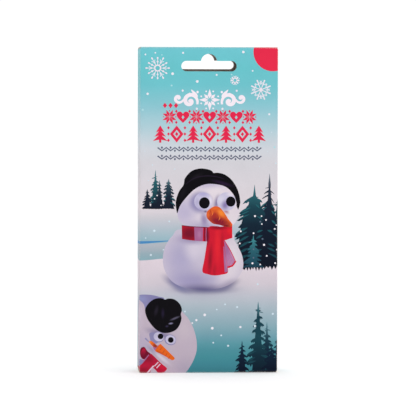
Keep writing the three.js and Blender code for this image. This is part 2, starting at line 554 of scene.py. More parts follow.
@dataclass(frozen=True)
class Bough:
    """A full, drooping bough of a fir.

    Its reach is negative to the left, its drop is how far its end hangs below its root, and
    its thickness is the one at the trunk.
    """

    root: Point
    reach: float
    drop: float
    thick: float

    def outline(self, draw: random.Random) -> Loop:
        """Its outline, whose underside hangs in ragged tufts.

        Args:
            draw: Makes the random draws.

        Returns:
            The outline.
        """
        x, y = self.root
        reach, thick = self.reach, self.thick
        line = [(x, y + thick * 0.6)]
        for share, crest in ((0.3, 0.45), (0.6, 0.34), (0.84, 0.2)):
            line.append((x + reach * share, y - self.drop * share**1.4 + thick * crest))
        line.append((x + reach, y - self.drop + thick * draw.uniform(-0.25, 0.15)))
        for share, hang in ((0.86, 0.4), (0.64, 0.62), (0.42, 0.8)):
            under, tuft = y - self.drop * share**1.4, thick * hang
            line.append((x + reach * share, under - tuft * draw.uniform(0.7, 1.2)))
            line.append((x + reach * (share - 0.1), under - tuft * draw.uniform(0.2, 0.5)))
        line.append((x, y - thick))
        return line

    def glint(self, draw: random.Random) -> Loop:
        """A lit brush stroke along its upper side.

        Args:
            draw: Makes the random draws.

        Returns:
            The stroke's outline.
        """
        x, y = self.root
        stops = (draw.uniform(0.15, 0.4), 0.55, 0.75, 0.92)
        line = [(x + self.reach * t, y - self.drop * t**1.5 + self.thick * 0.12) for t in stops]
        return stroke(line, lambda t: self.thick * (0.08 + 0.36 * sin(pi * t**0.7)))


@dataclass
class Figure:
    """An area of one ink. A point is inside it if an odd number of its loops go round it."""

    tint: Tint
    loops: list[Loop]


@dataclass
class Artwork:
    """The print on the flat blank, as figures from the lowest to the topmost."""

    seed: int = 7
    figures: list[Figure] = field(default_factory=list)
    draw: random.Random = field(init=False)

    def __post_init__(self) -> None:
        """Starts the artwork's own random draws."""
        self.draw = random.Random(self.seed)

    def put(self, tint: Tint, *loops: Loop) -> None:
        """Adds one figure."""
        self.figures.append(Figure(tint, list(loops)))

    def shape(self, tint: Tint, points: list[Point], steps: int = 4) -> None:
        """Adds a figure with a smooth outline through some points."""
        self.put(tint, smooth(points, steps))

    def line(self, tint: Tint, points: list[Point], width: float) -> None:
        """Adds a brush stroke of one width."""
        self.put(tint, stroke(points, lambda t: width))

    def each(self, tint: Tint, loops: Iterable[Loop]) -> None:
        """Adds each loop as a figure of its own."""
        for loop in loops:
            self.put(tint, loop)

    # --- trees and snow ---

    def fir(
        self,
        tip: Point,
        base: float,
        half_width: float,
        body: Tint,
        accent: Tint | None = None,
        tiers: int = 9,
        spire: float = 0.16,
        fullness: float = 0.7,
        bulk: float = 1,
    ) -> None:
        """A fir with a thin spire and ragged, drooping boughs.

        Args:
            tip: The top of its spire.
            base: The height of its foot.
            half_width: How far its lowest boughs reach.
            body: The ink of the tree.
            accent: The ink of its lit boughs, if it has any.
            tiers: How many rows of boughs it has.
            spire: The share of its height that has no boughs.
            fullness: Under 1, its crown widens quickly; over 1, slowly.
            bulk: How much wider than usual its solid middle is.
        """
        x, top = tip
        height = top - base
        neck = max(0.07 * half_width, 0.42)
        girth = bulk * half_width
        profile = ((spire * 0.3, neck * 0.55), (spire, neck), (0.55, 0.24 * girth), (1, 0.44 * girth))
        core = [(x, top + 0.3)] + [(x + r, top - height * t) for t, r in profile]
        self.put(body, core + [(x - r, top - height * t) for t, r in profile[::-1]])
        side = self.draw.choice((-1, 1))
        for k in range(3):
            reach = half_width * self.draw.uniform(0.09, 0.15) * (k + 1.5)
            root = top - height * spire * (0.62 + 0.19 * k)
            drop = reach * self.draw.uniform(0.1, 0.6)
            bough = Bough((x, root), side * reach, drop, min(0.6, reach * 0.3))
            self.put(body, bough.outline(self.draw))
            side = -side
        lit = []
        gap = height * (1 - spire) / tiers
        for tier in range(tiers):
            for side in (-1, 1):
                share = (tier + 0.8) / tiers
                reach = half_width * share**fullness * self.draw.uniform(0.74, 1.12)
                root = top - height * spire - gap * (tier + self.draw.uniform(-0.3, 0.3))
                drop = min(reach * self.draw.uniform(0.22, 0.5), max(root - base, 0.1))
                thick = min(gap * self.draw.uniform(0.8, 1.05), reach * 0.66)
                bough = Bough((x, root), side * reach, drop, thick)
                self.put(body, [(u, max(v, base - 0.3)) for u, v in bough.outline(self.draw)])
                if accent and self.draw.random() < 0.6 and root - drop > base + 1:
                    lit.append(bough.glint(self.draw))
        if accent:
            self.each(accent, lit)

    def drawn_fir(
        self,
        x: float,
        tints: tuple[Tint, Tint],
        core: list[Point],
        boughs: Iterable[tuple[float, float, float, float]],
    ) -> None:
        """A fir drawn bough by bough.

        Args:
            x: Where its trunk stands.
            tints: Its ink and that of its lit boughs.
            core: The height and the half-width of its trunk, from the top down.
            boughs: For each bough its root's height, reach (negative to the left), drop and thickness.
        """
        self.put(tints[0], [(x - r, v) for v, r in core] + [(x + r, v) for v, r in core[::-1]])
        lit = []
        for root, reach, drop, thick in boughs:
            bough = Bough((x, root), reach, drop, thick)
            self.put(tints[0], bough.outline(self.draw))
            if thick > 1.4 and self.draw.random() < 0.75:
                lit.append(bough.glint(self.draw))
        self.each(tints[1], lit)

    def undergrowth(self, start: Point, end: Point, tint: Tint, height: float) -> None:
        """The ragged foot of a group of firs, where boughs meet the snow.

        Args:
            start: Its left end.
            end: Its right end.
            tint: Its ink.
            height: How high it stands.
        """
        slope = (end[1] - start[1]) / (end[0] - start[0])
        line, at, up = [], start[0], True
        while at < end[0]:
            hang = min(1, height * 0.4)
            edge = self.draw.uniform(0.3, 1.1) if up else -self.draw.uniform(0.5, 2.2) * hang
            line.append((at, start[1] + (at - start[0]) * slope + edge))
            at += self.draw.uniform(0.65, 1.3)
            up = not up
        crest, at = [], end[0]
        while at > start[0]:
            crest.append((at, start[1] + (at - start[0]) * slope + height * self.draw.uniform(0.6, 1.25)))
            at -= self.draw.uniform(0.8, 1.8)
        self.put(tint, line + crest)

    def snow(self, count: int, across: Point, up: Point, radius: Point, tint: Tint = Tint.SNOW_DOT) -> None:
        """Loose snow dots in a rectangle, one in each of as many even bands of its height.

        Args:
            count: How many dots there are.
            across: The rectangle's left and right end.
            up: Its lower and upper end.
            radius: The smallest and the largest radius.
            tint: Their ink.
        """
        order = list(range(count))
        self.draw.shuffle(order)
        for row, column in enumerate(order):
            x = across[0] + (across[1] - across[0]) * (column + self.draw.random()) / count
            y = up[0] + (up[1] - up[0]) * (row + self.draw.random()) / count
            self.put(tint, disc((x, y), self.draw.uniform(*radius), 9))

    def dots(self, tint: Tint, *spots: tuple[float, float, float]) -> None:
        """Snow dots, each given by its place and radius."""
        for x, y, radius in spots:
            self.put(tint, disc((x, y), radius, 12))

    # --- snow crystals ---

    def beaded_crystal(self, at: Point, radius: float) -> None:
        """A snow crystal of twelve beaded arms round an open hub, every other one longer and forked.

        Args:
            at: Its middle.
            radius: The reach of its long arms.
        """
        self.put(Tint.FLAKE, disc(at, radius * 0.285, 24), disc(at, radius * 0.185, 24))
        for arm in range(12):
            angle, long = 30 * arm, arm % 2 == 0
            end = radius * (0.9 if long else 0.81)
            spoke = [(radius * 0.25, 0), (end, 0)]
            self.put(Tint.FLAKE, placed(stroke(spoke, lambda t: radius * 0.05), at, 1, angle))
            self.put(Tint.FLAKE, placed(ellipse((end, 0), radius * 0.1, radius * 0.07, 10), at, 1, angle))
            self.put(Tint.FLAKE, placed(disc((radius * 0.52, 0), radius * 0.08, 9), at, 1, angle))
            for side in (-1, 1) if long else ():
                fork = [(radius * 0.54, 0), (radius * 0.71, side * radius * 0.17)]
                self.put(Tint.FLAKE_SOFT, placed(stroke(fork, lambda t: radius * 0.07), at, 1, angle))

    def rayed_crystal(self, at: Point, radius: float) -> None:
        """A snow crystal of eight rays in four pairs, with a petal in each pair and a bead between.

        Args:
            at: Its middle.
            radius: The reach of its rays.
        """
        self.put(Tint.FLAKE, disc(at, radius * 0.17, 12))
        petal = [
            (0.42, 0), (0.6, 0.08), (0.72, 0.05), (0.9, 0.13), (0.8, 0), (0.9, -0.13), (0.72, -0.05),
            (0.6, -0.08),
        ]
        for quarter in range(4):
            angle = 90 * quarter
            self.put(Tint.FLAKE, placed(petal, at, radius, angle))
            self.put(Tint.FLAKE, placed(disc((0.72, 0), 0.1, 10), at, radius, angle + 45))
            for side in (-1, 1):
                ray = stroke([(0.1, 0), (0.45, 0), (0.7, 0), (1, 0)], lambda t: 0.06 + 0.08 * t)
                self.put(Tint.FLAKE, placed(ray, at, radius, angle + 21.5 * side))
                barb = stroke([(0.76, 0), (0.44, side * 0.22)], lambda t: 0.1)
                self.put(Tint.FLAKE_SOFT, placed(barb, at, radius, angle + 45))
                web = stroke([(0.56, 0), (0.72, side * 0.28)], lambda t: 0.1)
                self.put(Tint.FLAKE_SOFT, placed(web, at, radius, angle))

    def rosette(self, at: Point, radius: float, tint: Tint) -> None:
        """A ring of small petals round an open middle.

        Args:
            at: Its middle.
            radius: Its reach.
            tint: Its ink.
        """
        petal = [(0.4, 0), (0.68, 0.2), (1, 0), (0.68, -0.2)]
        self.each(tint, (placed(petal, at, radius, 45 * k) for k in range(8)))
        self.each(tint, (placed(disc((0.92, 0), 0.09, 7), at, radius, 45 * k + 22.5) for k in range(8)))
        self.put(tint, disc(at, radius * 0.5, 16), disc(at, radius * 0.34, 16))

    # --- knitted ornaments ---

    def knit_star(self, at: Point, size: float, tint: Tint) -> None:
        """An eight-petalled knitted star.

        Args:
            at: Its middle.
            size: Half its height.
            tint: Its ink.
        """
        petal = [(0.04, 0.02), (0.5, 0.02), (1, 0.46), (0.46, 0.44)]
        for k in range(4):
            self.put(tint, placed(petal, at, size, 90 * k))
            self.put(tint, placed([(x, -y) for x, y in petal][::-1], at, size, 90 * k))
        self.each(tint, (placed(disc((0.86, 0), 0.09, 8), at, size, 90 * k) for k in range(4)))

    def heart(self, at: Point, size: float, tint: Tint) -> None:
        """A rounded heart with a small diamond left open in it.

        Args:
            at: Its middle.
            size: Half its height.
            tint: Its ink.
        """
        side = [(0, 0.42), (0.3, 0.72), (0.72, 0.66), (0.9, 0.28), (0.66, -0.2), (0, -0.86)]
        half = smooth(side, 4, False)
        outline = half + [(-x, y) for x, y in half[-2:0:-1]]
        inner = [(0, 0.22), (0.2, -0.06), (0, -0.34), (-0.2, -0.06)]
        self.put(tint, placed(outline, at, size), placed(inner, at, size))

    def knit_fir(self, at: Point, size: float, tint: Tint) -> None:
        """A small stylised fir of three tiers on a trunk.

        Args:
            at: Its middle.
            size: Half its height.
            tint: Its ink.
        """
        for k, width in enumerate((0.5, 0.68, 0.86)):
            foot = 0.3 - 0.5 * k
            tier = [(0, foot + 0.7), (width, foot - 0.12), (0, foot + 0.08), (-width, foot - 0.12)]
            self.put(tint, placed(tier, at, size))
        self.put(tint, placed([(-0.13, -1), (0.13, -1), (0.13, -0.4), (-0.13, -0.4)], at, size))

    def lozenge(self, at: Point, size: float, tint: Tint) -> None:
        """A diamond with a diamond left open in it and a dot at its heart.

        Args:
            at: Its middle.
            size: Half its height.
            tint: Its ink.
        """
        ring = [[(0, r), (-r * 0.8, 0), (0, -r), (r * 0.8, 0)] for r in (0.98, 0.5)]
        self.put(tint, *(placed(loop, at, size) for loop in ring))
        self.put(tint, placed([(0, 0.26), (-0.2, 0), (0, -0.26), (0.2, 0)], at, size))

    def scrolls(self, middle: Point) -> None:
        """The white ornament: a star of petals between two pairs of scrolls.

        Args:
            middle: The star's middle.
        """
        beads = ((11.4, -0.6, 1), (18, 0.8, 0.75), (7, 4.5, 0.7), (15.6, 5.3, 0.6), (7.4, -5.1, 0.6))
        leaf = smooth([(0, 0), (1.8, 1.1), (5.6, 0.9), (2.6, -0.5)], 4)
        for k in range(8):
            x, y, tip = ((2.7, 1.15, 6.2), (2.6, 0.95, 4.6))[k % 2]
            self.put(Tint.TITLE_WHITE, placed([(0.9, 0), (x, y), (tip, 0), (x, -y)], middle, 1, 45 * k))
            self.put(Tint.TITLE_WHITE, placed(disc((5.3, 0), 0.5, 9), middle, 1, 45 * k + 22.5))
        for side in (-1, 1):
            large = spiral((11.4, -0.6), 4.7, 0.8, 205, -470)
            small = spiral((18, 0.8), 3, 0.5, 190, 400)
            for line, broad in ((large, 2.1), (small, 1.6)):
                outline = stroke(line, lambda t, w=broad: w * self._curl(t))
                self.put(Tint.TITLE_WHITE, placed(outline, middle, mirror=side < 0))
            for x, y, r in beads:
                self.put(Tint.TITLE_WHITE, placed(disc((x, y), r, 12), middle, mirror=side < 0))
            for tilt in (0, -24):
                turned = placed(leaf, (6.9, 1.8), 1, 38 + tilt)
                self.put(Tint.TITLE_WHITE, placed(turned, middle, mirror=side < 0))

    @staticmethod
    def _curl(share: float) -> float:
        """The width of a scroll that is thickest near its middle."""
        return 0.35 + 0.75 * sin(pi * min(1, 0.1 + share * 0.95))

    def zigzag(self, middle: Point) -> None:
        """A fine knitted border: a zigzag with a small diamond in each of its bays.

        Args:
            middle: Its middle.
        """
        x, y = middle
        half, pitch, rise = 12, 2.5, 0.9
        line = [(x + k * pitch, y + rise * (1 - 2 * (k % 2))) for k in range(-half, half + 1)]
        self.line(Tint.SLATE, line, 0.78)
        diamond = [(0, 0.85), (-0.65, 0), (0, -0.85), (0.65, 0)]
        for k in range(1 - half, half):
            self.put(Tint.SLATE, placed(diamond, (x + k * pitch, y - rise * (1 - 2 * (k % 2)))))

    def ornament_band(self) -> None:
        """The rows of ornament across the upper front: one white, two red and two fine ones."""
        middle = 40.4
        self.scrolls((middle, 157.6))
        small, large = [(0, 1.6), (-1.25, 0), (0, -1.6), (1.25, 0)], [(0, 1), (-0.8, 0), (0, -1), (0.8, 0)]
        for k in range(3):
            self.put(Tint.TITLE_RED, placed(small, (14.6 + 3.2 * k, 154.3)))
        for k in range(7):
            at = (middle + (k - 3) * 7.7, 147.8)
            (self.knit_star, self.heart)[k % 2](at, 4.1, Tint.TITLE_RED)
            at = (middle + (k - 3) * 9.5, 137.9)
            (self.knit_fir, self.lozenge)[k % 2](at, 5, Tint.TITLE_RED)
        for k in range(6):
            x = middle + (k - 2.5) * 7.7
            self.put(Tint.TITLE_RED, placed(large, (x, 151)))
            self.put(Tint.TITLE_RED, placed(large, (x, 144.6)))
            x = middle + (k - 2.5) * 9.5
            for rise in (-3.6, 0, 3.6):
                self.put(Tint.TITLE_RED, placed(large, (x, 137.9 + rise)))
        self.zigzag((middle, 129.2))
        self.zigzag((middle, 124.4))

    # --- snowmen ---

    def snowman(self) -> None:
        """The upright snowman: two balls of snow, a round hat, a carrot and a scarf."""
        self.shape(Tint.BODY, [
            (24.8, 83.2), (19.3, 79.5), (15.4, 74.2), (13.7, 68.4), (13.7, 63), (15.4, 57.6), (18.8, 53),
            (24.2, 49.9), (32, 48.4), (40.5, 48.2), (48.2, 49.4), (54.2, 52.3), (58.3, 56.6),
            (60.1, 61.8), (59.4, 67.7), (57.3, 72.4), (54.9, 76.6), (52, 81),
        ])
        self.shape(Tint.HEAD, [
            (21.9, 92), (22.4, 89.6), (23.7, 87.2), (26, 85.2), (31, 83.5), (40, 82.9), (50, 83.6),
            (53.8, 85.2), (55.9, 87.8), (57.2, 90.9), (57.7, 94.6), (57.2, 99), (54.2, 105.4), (48, 110),
            (38.4, 111), (30, 108), (24, 101.4), (21.5, 95.6),
        ])
        self.eyes_and_hat()
        self.scarf()
        self.shape(Tint.CARROT, [
            (38.7, 91.8), (39.3, 93.6), (42.3, 95.9), (44.6, 96.3), (46.5, 95.5), (48.2, 93.7),
            (49.6, 91.7), (51.3, 89), (53.2, 86.7), (53.7, 85.3), (52.5, 84.3), (49.8, 84.4),
            (46.3, 85.5), (42.7, 86.2), (40.3, 88), (38.9, 89.8),
        ])
        for k in range(9):
            x, y = 40.4 + 1.35 * k, 93.8 - 0.95 * k
            ring = [(x + 0.5, y + 0.7), (x + 0.6, y - 0.6), (x - 0.1, y - 2.3 + 0.08 * k)]
            tint = Tint.CARROT_GLOW if k in (1, 4) else Tint.CARROT_RING
            self.put(tint, stroke(smooth(ring, 4, False), lambda t: 0.36 * sin(pi * t) + 0.04))

    def scarf(self) -> None:
        """The upright snowman's scarf: a band, a broad end and a striped one behind it."""
        tail = smooth([(48.6, 77), (52.6, 70.6), (55.6, 64.4), (54, 61.9), (50.9, 60.9), (49.4, 68)], 3)
        self.put(Tint.SCARF_STRIPE, tail)
        self.line(Tint.SCARF, smooth([(48.8, 77), (52.6, 70.8), (55.6, 64.4)], 4, False), 0.4)
        self.line(Tint.SCARF, [(55.7, 64.6), (53.8, 61.9), (50.8, 60.9)], 1)
        for k in range(6):
            line = [(49.3 + 0.2 * k, 75.6 - 0.5 * k), (50.6 + 0.85 * k, 61.3 + 0.4 * k)]
            self.line(Tint.SCARF_LINE, line, 0.26)
        band = smooth([(24.4, 85.4), (31, 84.7), (39, 84.3), (47, 84.5), (53.6, 85.3)], 4, False)
        band += smooth([(53.7, 78), (49, 76.6), (43, 75.9), (36, 76.1), (30, 76.6), (24.6, 77.4)], 4, False)
        self.put(Tint.SCARF, band)
        self.put(Tint.SCARF_STRIPE, [(31.6, 84.6), (36.8, 84.4), (36.6, 76.1), (31.9, 76.4)])
        for x, broad, tint in (
            (37.7, 0.55, Tint.SCARF_DARK),
            (38.6, 0.35, Tint.SCARF_LINE),
            (39.2, 0.4, Tint.SCARF_DARK),
        ):
            self.line(tint, [(x, 84.2), (x - 0.15, 79.6), (x, 76)], broad)
        rim = smooth([(24.4, 85.2), (31, 84.5), (39, 84.1)], 4, False)
        self.line(Tint.SCARF_DARK, rim, 0.45)
        self.shape(Tint.SCARF, [
            (39.8, 84), (43.6, 84.8), (47.6, 83.6), (48.7, 77), (49.6, 70), (50.6, 63), (51.1, 58),
            (47.2, 56.7), (43.2, 56.3), (39.6, 57), (36.4, 58.6), (37.4, 65), (38.5, 72), (39.3, 78),
        ])
        self.put(Tint.SCARF_STRIPE, [(48.5, 73), (49, 73), (51.2, 58.6), (49.3, 58), (48.8, 65)])
        for k in range(3):
            self.line(Tint.SCARF_LINE, [(48.9 + 0.05 * k, 71 - 3 * k), (49.7 + 0.5 * k, 58.4)], 0.2)

    def eyes_and_hat(self) -> None:
        """The upright snowman's eyes and its round felt hat."""
        eyes = (((36.9, 99.1), 5.3, (37.5, 98.2), 3.2), ((50.2, 99), 5.4, (52.7, 99), 2.85))
        for at, radius, pupil, size in eyes:
            self.put(Tint.EYE, ellipse(at, radius, radius * 0.99, 32))
            self.put(Tint.PUPIL, ellipse(pupil, size * 0.97, size * 1.03, 28))
        outer = [
            (21.6, 92.3), (20.9, 98.4), (22.6, 104.4), (25.4, 108.6), (26.2, 112.4), (30, 116.6),
            (35.2, 118.1), (40.3, 117.4), (42.2, 116.2), (42.7, 115.5), (45.4, 115.6), (49.4, 114.5),
            (53.5, 111.2), (56.8, 105.6), (58.2, 99.8), (57.9, 96.6), (57, 94.2),
        ]
        inner = [
            (56, 96.6), (55.9, 98.8), (54.2, 103.2), (50.2, 107.2), (44.8, 108.9), (38.4, 109),
            (32.2, 106.4), (27.2, 101.6), (23.6, 96.8), (22, 92.6),
        ]
        self.put(Tint.HAT, smooth(outer, 5, False) + smooth(inner, 5, False))
        band = smooth([(26.6, 109), (32, 112.6), (38.5, 113.8), (44.6, 113.3), (49, 112)], 4, False)
        self.put(Tint.HAT_BAND, stroke(band, lambda t: 0.2 + 0.4 * sin(pi * t)))

    def melted_snowman(self) -> None:
        """The melted snowman in the lower left corner, slumped round the carton's crease."""
        shade = [
            (-16, 26), (-13, 37), (-7, 42.8), (-1.2, 44.9), (2.6, 45.4), (7.2, 45.1), (11.3, 44.1),
            (14.6, 42.6),
        ]
        self.shape(Tint.MELT_SHADE, shade + [(14.6, 34), (2, 30), (-10, 22)], 5)
        self.shape(Tint.MELT, [
            (-16, 22), (-13, 33), (-7, 39.6), (-1.2, 42.2), (0.9, 41.5), (2.6, 39.6), (3.5, 36.6),
            (6, 31), (15, 35), (22, 37), (26.9, 33.2), (30, 28.6), (32, 23.7), (33.2, 18), (33.1, 12.6),
            (31.5, 7.6), (29.3, 3.5), (27, 0.3), (23, -4), (4, -8), (-12, -6), (-16, 8),
        ], 5)
        brow = [(5.8, 22.8), (6.6, 18.6), (8.6, 16.9), (10.8, 17.8), (8.6, 20.6), (8.4, 23.4)]
        self.shape(Tint.MELT_SHADE, brow)
        fold = smooth([(3.4, 20.2), (5.2, 18.4), (7.4, 17)], 4, False)
        self.put(Tint.MELT_SHADE, stroke(fold, lambda t: 0.9 - 0.4 * t))
        radius = 3
        for at, pupil in (((11.2, 20.9), (12.3, 21.2)), ((18.1, 19.2), (18.2, 19.1))):
            self.put(Tint.MELT_SHADE, ellipse((at[0] - 0.2, at[1] - 0.1), radius * 1.14, radius, 24, -24))
            self.put(Tint.EYE, ellipse(at, radius, radius * 0.86, 24, -24))
            self.put(Tint.PUPIL, disc(pupil, 1.65, 18))
        mouth = [(7.8, 15.6), (10.2, 15.9), (11.4, 16.2), (10.3, 14.8), (9.4, 12.9), (8.6, 13.6)]
        self.shape(Tint.SCARF_LINE, mouth, 3)
        stub = [(5.6, 18.1), (6.8, 18.6), (8.2, 17.7), (10.3, 15.8), (9.6, 14.6), (7.8, 15.4), (6.3, 17)]
        self.shape(Tint.MELT_CARROT, stub, 3)
        self.shape(Tint.MELT_CARROT, [
            (9.2, 12.8), (10.2, 14.9), (11.4, 16.2), (12.3, 16.8), (13.4, 15.8), (15.3, 13.9),
            (17.8, 11.4), (20.2, 9), (20.4, 8), (19.3, 7.4), (17.8, 7.9), (14.7, 9.8), (11.6, 11.4),
        ], 3)
        for k in range(4):
            x, y = 12.8 + 1.6 * k, 14.8 - 1.7 * k
            self.line(Tint.CARROT_RING, [(x, y), (x - 0.3, y - 0.9), (x - 1, y - 1.5)], 0.24)
        gap = [(-6, 9), (0, 8.2), (2.8, 7.6), (4.2, 8), (2.4, 5.2), (0, 3.9), (-6, 3)]
        self.shape(Tint.MELT_SHADE, gap)
        self.shape(Tint.SCARF_DARK, [
            (2.9, 15.1), (4.8, 12.6), (6.8, 10.8), (5, 8.8), (3.6, 8), (1.6, 8.4), (0.3, 11.4),
            (0.9, 14.3),
        ])
        self.put(Tint.MELT_SCARF, ellipse((2.3, 11.9), 1.3, 2.5, 16, -16))
        self.shape(Tint.MELT_SCARF, [
            (-15, 2.6), (-8, 3.6), (-1.6, 3.9), (1, 4.9), (3.5, 7.6), (6.4, 11), (8.2, 10), (11.3, 6.9),
            (13.5, 4.9), (16, 2.7), (14.9, 0.9), (13, -0.6), (8, -3), (-2, -5), (-14, -5),
        ])
        self.line(Tint.SCARF_LINE, [(2.2, 6.9), (4, 8.6), (5.6, 10.6)], 0.5)
        self.line(Tint.FRINGE, [(4.4, -0.4), (6.4, 2), (8.4, 4.2)], 0.85)
        for start, end in (((8.8, 4), (11, 6.3)), ((10, 2.9), (12.2, 5.2))):
            self.line(Tint.FRINGE, [start, end], 0.62)
        self.shape(Tint.MELT, [(6.2, -0.6), (7.4, 2.6), (8.7, 2.5), (10.3, 0.6), (10.8, -1.2), (8, -2)], 3)
        self.shape(Tint.MELT_HAT, [
            (3.3, 36), (4.1, 38.6), (6, 41), (8.5, 42.7), (11.3, 43.3), (13.5, 43.1), (14.8, 42.4),
            (16.5, 43), (19.6, 42.8), (22.1, 41.3), (24, 38.8), (24.6, 36.3), (24, 34), (24.4, 31.9),
            (24, 29.5), (22.7, 26.7), (20.9, 24.7), (17.8, 23.4), (14.7, 23.1), (11.9, 23.8),
            (9.1, 25.6), (6.3, 28.8), (4.4, 32),
        ])

    # --- the whole print ---

    def landscape(self, left: float, right: float) -> None:
        """Sky, far field, bank and near snow, round all four panels.

        Args:
            left: The blank's left end.
            right: Its right end.
        """
        low, high = -30, 230
        self.put(Tint.SKY, [(left, low), (right, low), (right, high), (left, high)])
        foot = [(right, low), (left, low)]
        far = [
            (left, 97), (-96, 99), (-80, 102), (-62, 98), (-44, 95.5), (-24, 94.6), (0, 94.3),
            (24, 94.2), (48, 95), (66, 94), (84, 95), (right, 97),
        ]
        self.put(Tint.FAR_SNOW, smooth(far, 4, False) + foot)
        bank = [
            (left, 75), (-60, 74), (-22, 74.4), (0, 74.5), (18, 75.6), (40, 76.4), (70, 77), (right, 75),
        ]
        self.put(Tint.BANK, smooth(bank, 4, False) + foot)
        stream = smooth([(-46, 74.6), (-22, 75), (0, 75.4), (9, 75.8), (19, 76.5)], 6, False)
        self.put(
            Tint.STREAM,
            stroke(stream, lambda t: 1.5 * sin(pi * min(0.98, 0.25 + 0.72 * t)) + 0.05),
        )
        near = [
            (left, 60), (-90, 66), (-66, 69), (-44, 67.5), (-22, 65.6), (0, 65), (14, 66.1), (30, 66.5),
            (52, 62), (64, 60.8), (80, 62.4), (92, 63), (right, 60),
        ]
        self.put(Tint.SNOW, smooth(near, 4, False) + foot)

    def forest(self) -> None:
        """The three groups of firs of the front, which run on round the right crease."""
        self.fir((16.8, 111.9), 94.9, 4.3, Tint.FIR_FAR_DARK, Tint.FIR_STROKE, 8, 0.1, 0.4, 1.6)
        self.fir((9.2, 117.2), 94.7, 4.5, Tint.FIR_FAR, Tint.FIR_STROKE, 9, 0.2, 0.55, 1.4)
        self.fir((11.5, 111.2), 94.8, 3.1, Tint.FIR_FAR_DARK, None, 8, 0.16, 0.6, 1.4)
        self.fir((4.5, 106), 94.8, 3.5, Tint.FIR_FAR_DARK, None, 6, 0.16, 0.6, 1.3)
        self.undergrowth((1.7, 94.9), (20.2, 95.2), Tint.FIR_FAR_DARK, 0.9)
        self.dots(
            Tint.SNOW_DOT, (10.2, 102.5, 0.4), (8.7, 100.6, 0.4), (6.3, 97.2, 0.4), (13.6, 98.7, 0.45),
            (12.4, 96.8, 0.35),
        )
        self.fir((80.2, 100.4), 62.4, 10.5, Tint.FIR_TALL, Tint.FIR_STROKE, 10, 0.08, 0.7)
        core = [
            (115.2, 0.05), (112.5, 0.34), (109.3, 0.72), (107.6, 0.7), (106.6, 0.5), (104.2, 0.8),
            (101, 0.95), (98, 1.5), (95.5, 2.6), (92, 3.2), (86, 4.4), (76, 6), (62.2, 8),
        ]
        boughs = [
            (107.1, -2.5, 0.4, 0.6), (105.3, -3.3, 1.9, 1.1), (105.2, 2.9, 1.9, 0.7),
            (103.9, 1.4, 0.9, 0.7), (102.8, -4.6, 2.3, 0.9), (101.8, 2.9, 3.9, 0.7), (99.9, 1.4, 1, 0.8),
            (99.6, -3.2, 2.4, 1.2), (98.8, -6, 4.3, 2), (97.2, 3.2, 3, 1.7), (95.8, -6.6, 3.4, 2.6),
            (93.9, 3.6, 3.4, 2.4), (91.4, 3.4, 3.8, 2.6), (88.5, 4.2, 3.6, 2.6), (85, 6.5, 4, 3),
            (80.5, 8, 4.6, 3), (76, 9, 5, 3), (71.5, 9.8, 5, 3.2), (67, 10.5, 4.2, 3),
        ]
        self.drawn_fir(75.2, (Tint.FIR_NAVY, Tint.FIR_STROKE), core, boughs)
        core = [
            (108.7, 0.05), (105.5, 0.42), (102.4, 0.85), (101, 1.7), (98.5, 3.2), (96, 3.8), (92.5, 6),
            (86, 7.6), (80, 8.6), (70, 9.6), (61.5, 9.8),
        ]
        boughs = [
            (101, 2.4, -0.7, 0.8), (101.2, -6.9, 3.3, 2.3), (100.6, 4.7, 1.9, 2), (98, -5.2, 3, 2.8),
            (97.4, 3.2, 2.8, 2.2), (95.6, -9, 3.6, 3), (94.2, 5.5, 3, 2.6), (94, -9.2, 3.6, 1.9),
            (92, -10.4, 4.3, 2), (90.5, 6.4, 3.4, 2.8), (88.6, -9.6, 4.6, 3.6), (86.4, -8, 3.6, 2.6),
            (84.6, -11.9, 5.6, 3.6), (82.4, -11.3, 5.2, 3), (79.6, -10.2, 5, 3.2), (76.4, -9.6, 5, 3.4),
            (72.5, -10.4, 4.6, 3.4), (68.6, -10.6, 4.2, 3.2), (65, -10, 3.6, 3),
        ]
        self.drawn_fir(66.5, (Tint.FIR_TALL, Tint.FIR_STROKE), core, boughs)
        self.fir((72.6, 91), 61.8, 10, Tint.FIR_NAVY, Tint.FIR_STROKE, 8, 0.06, 0.6)
        self.undergrowth((57.6, 59.8), (89.6, 62.4), Tint.FIR_NAVY, 2.6)
        self.fir((65.9, 79.4), 60.9, 6.4, Tint.FIR_FRONT, None, 8, 0.18, 0.6)
        self.dots(
            Tint.SNOW_DOT, (66.8, 90.6, 0.6), (70.6, 90.6, 0.45), (73.2, 88.4, 0.5), (70.8, 86, 0.4),
            (66, 80.7, 0.5), (72.1, 74, 0.6), (73.7, 67.6, 0.5), (65.4, 63.3, 0.6), (69.9, 62.6, 0.45),
            (78.6, 63.4, 0.5), (78.3, 83.2, 0.5), (79.2, 85.4, 0.4), (58, 74.8, 0.5), (58.6, 81.8, 0.5),
            (79.5, 71.2, 0.4),
        )
        self.dots(
            Tint.FIR_FAINT, (69.9, 87.4, 0.5), (71.2, 77.4, 0.55), (66, 71.4, 0.5), (66, 66.5, 0.5),
            (71.8, 94.4, 0.45),
        )
        self.fir((80, 19.6), -1, 4.6, Tint.FIR_LOW_DARK, None, 6, 0.1, 0.6)
        self.fir((73.9, 29.2), -2, 6.2, Tint.FIR_LOW_DARK, Tint.FIR_STROKE, 9, 0.14, 0.66)
        self.fir((68.8, 41), -2, 8.4, Tint.FIR_LOW, Tint.FIR_STROKE, 10, 0.13, 0.62)
        self.fir((59.5, 18.4), -1.5, 5.7, Tint.FIR_LOW_DARK, None, 7, 0.18, 0.6)
        self.fir((76.6, 15), -2, 6.4, Tint.FIR_LOW_DARK, None, 6, 0.1, 0.6)
        self.undergrowth((54, -2.6), (98, -2.6), Tint.FIR_LOW_DARK, 3.2)
        self.fir((90, 30), -2, 6.6, Tint.FIR_LOW, Tint.FIR_STROKE, 9)

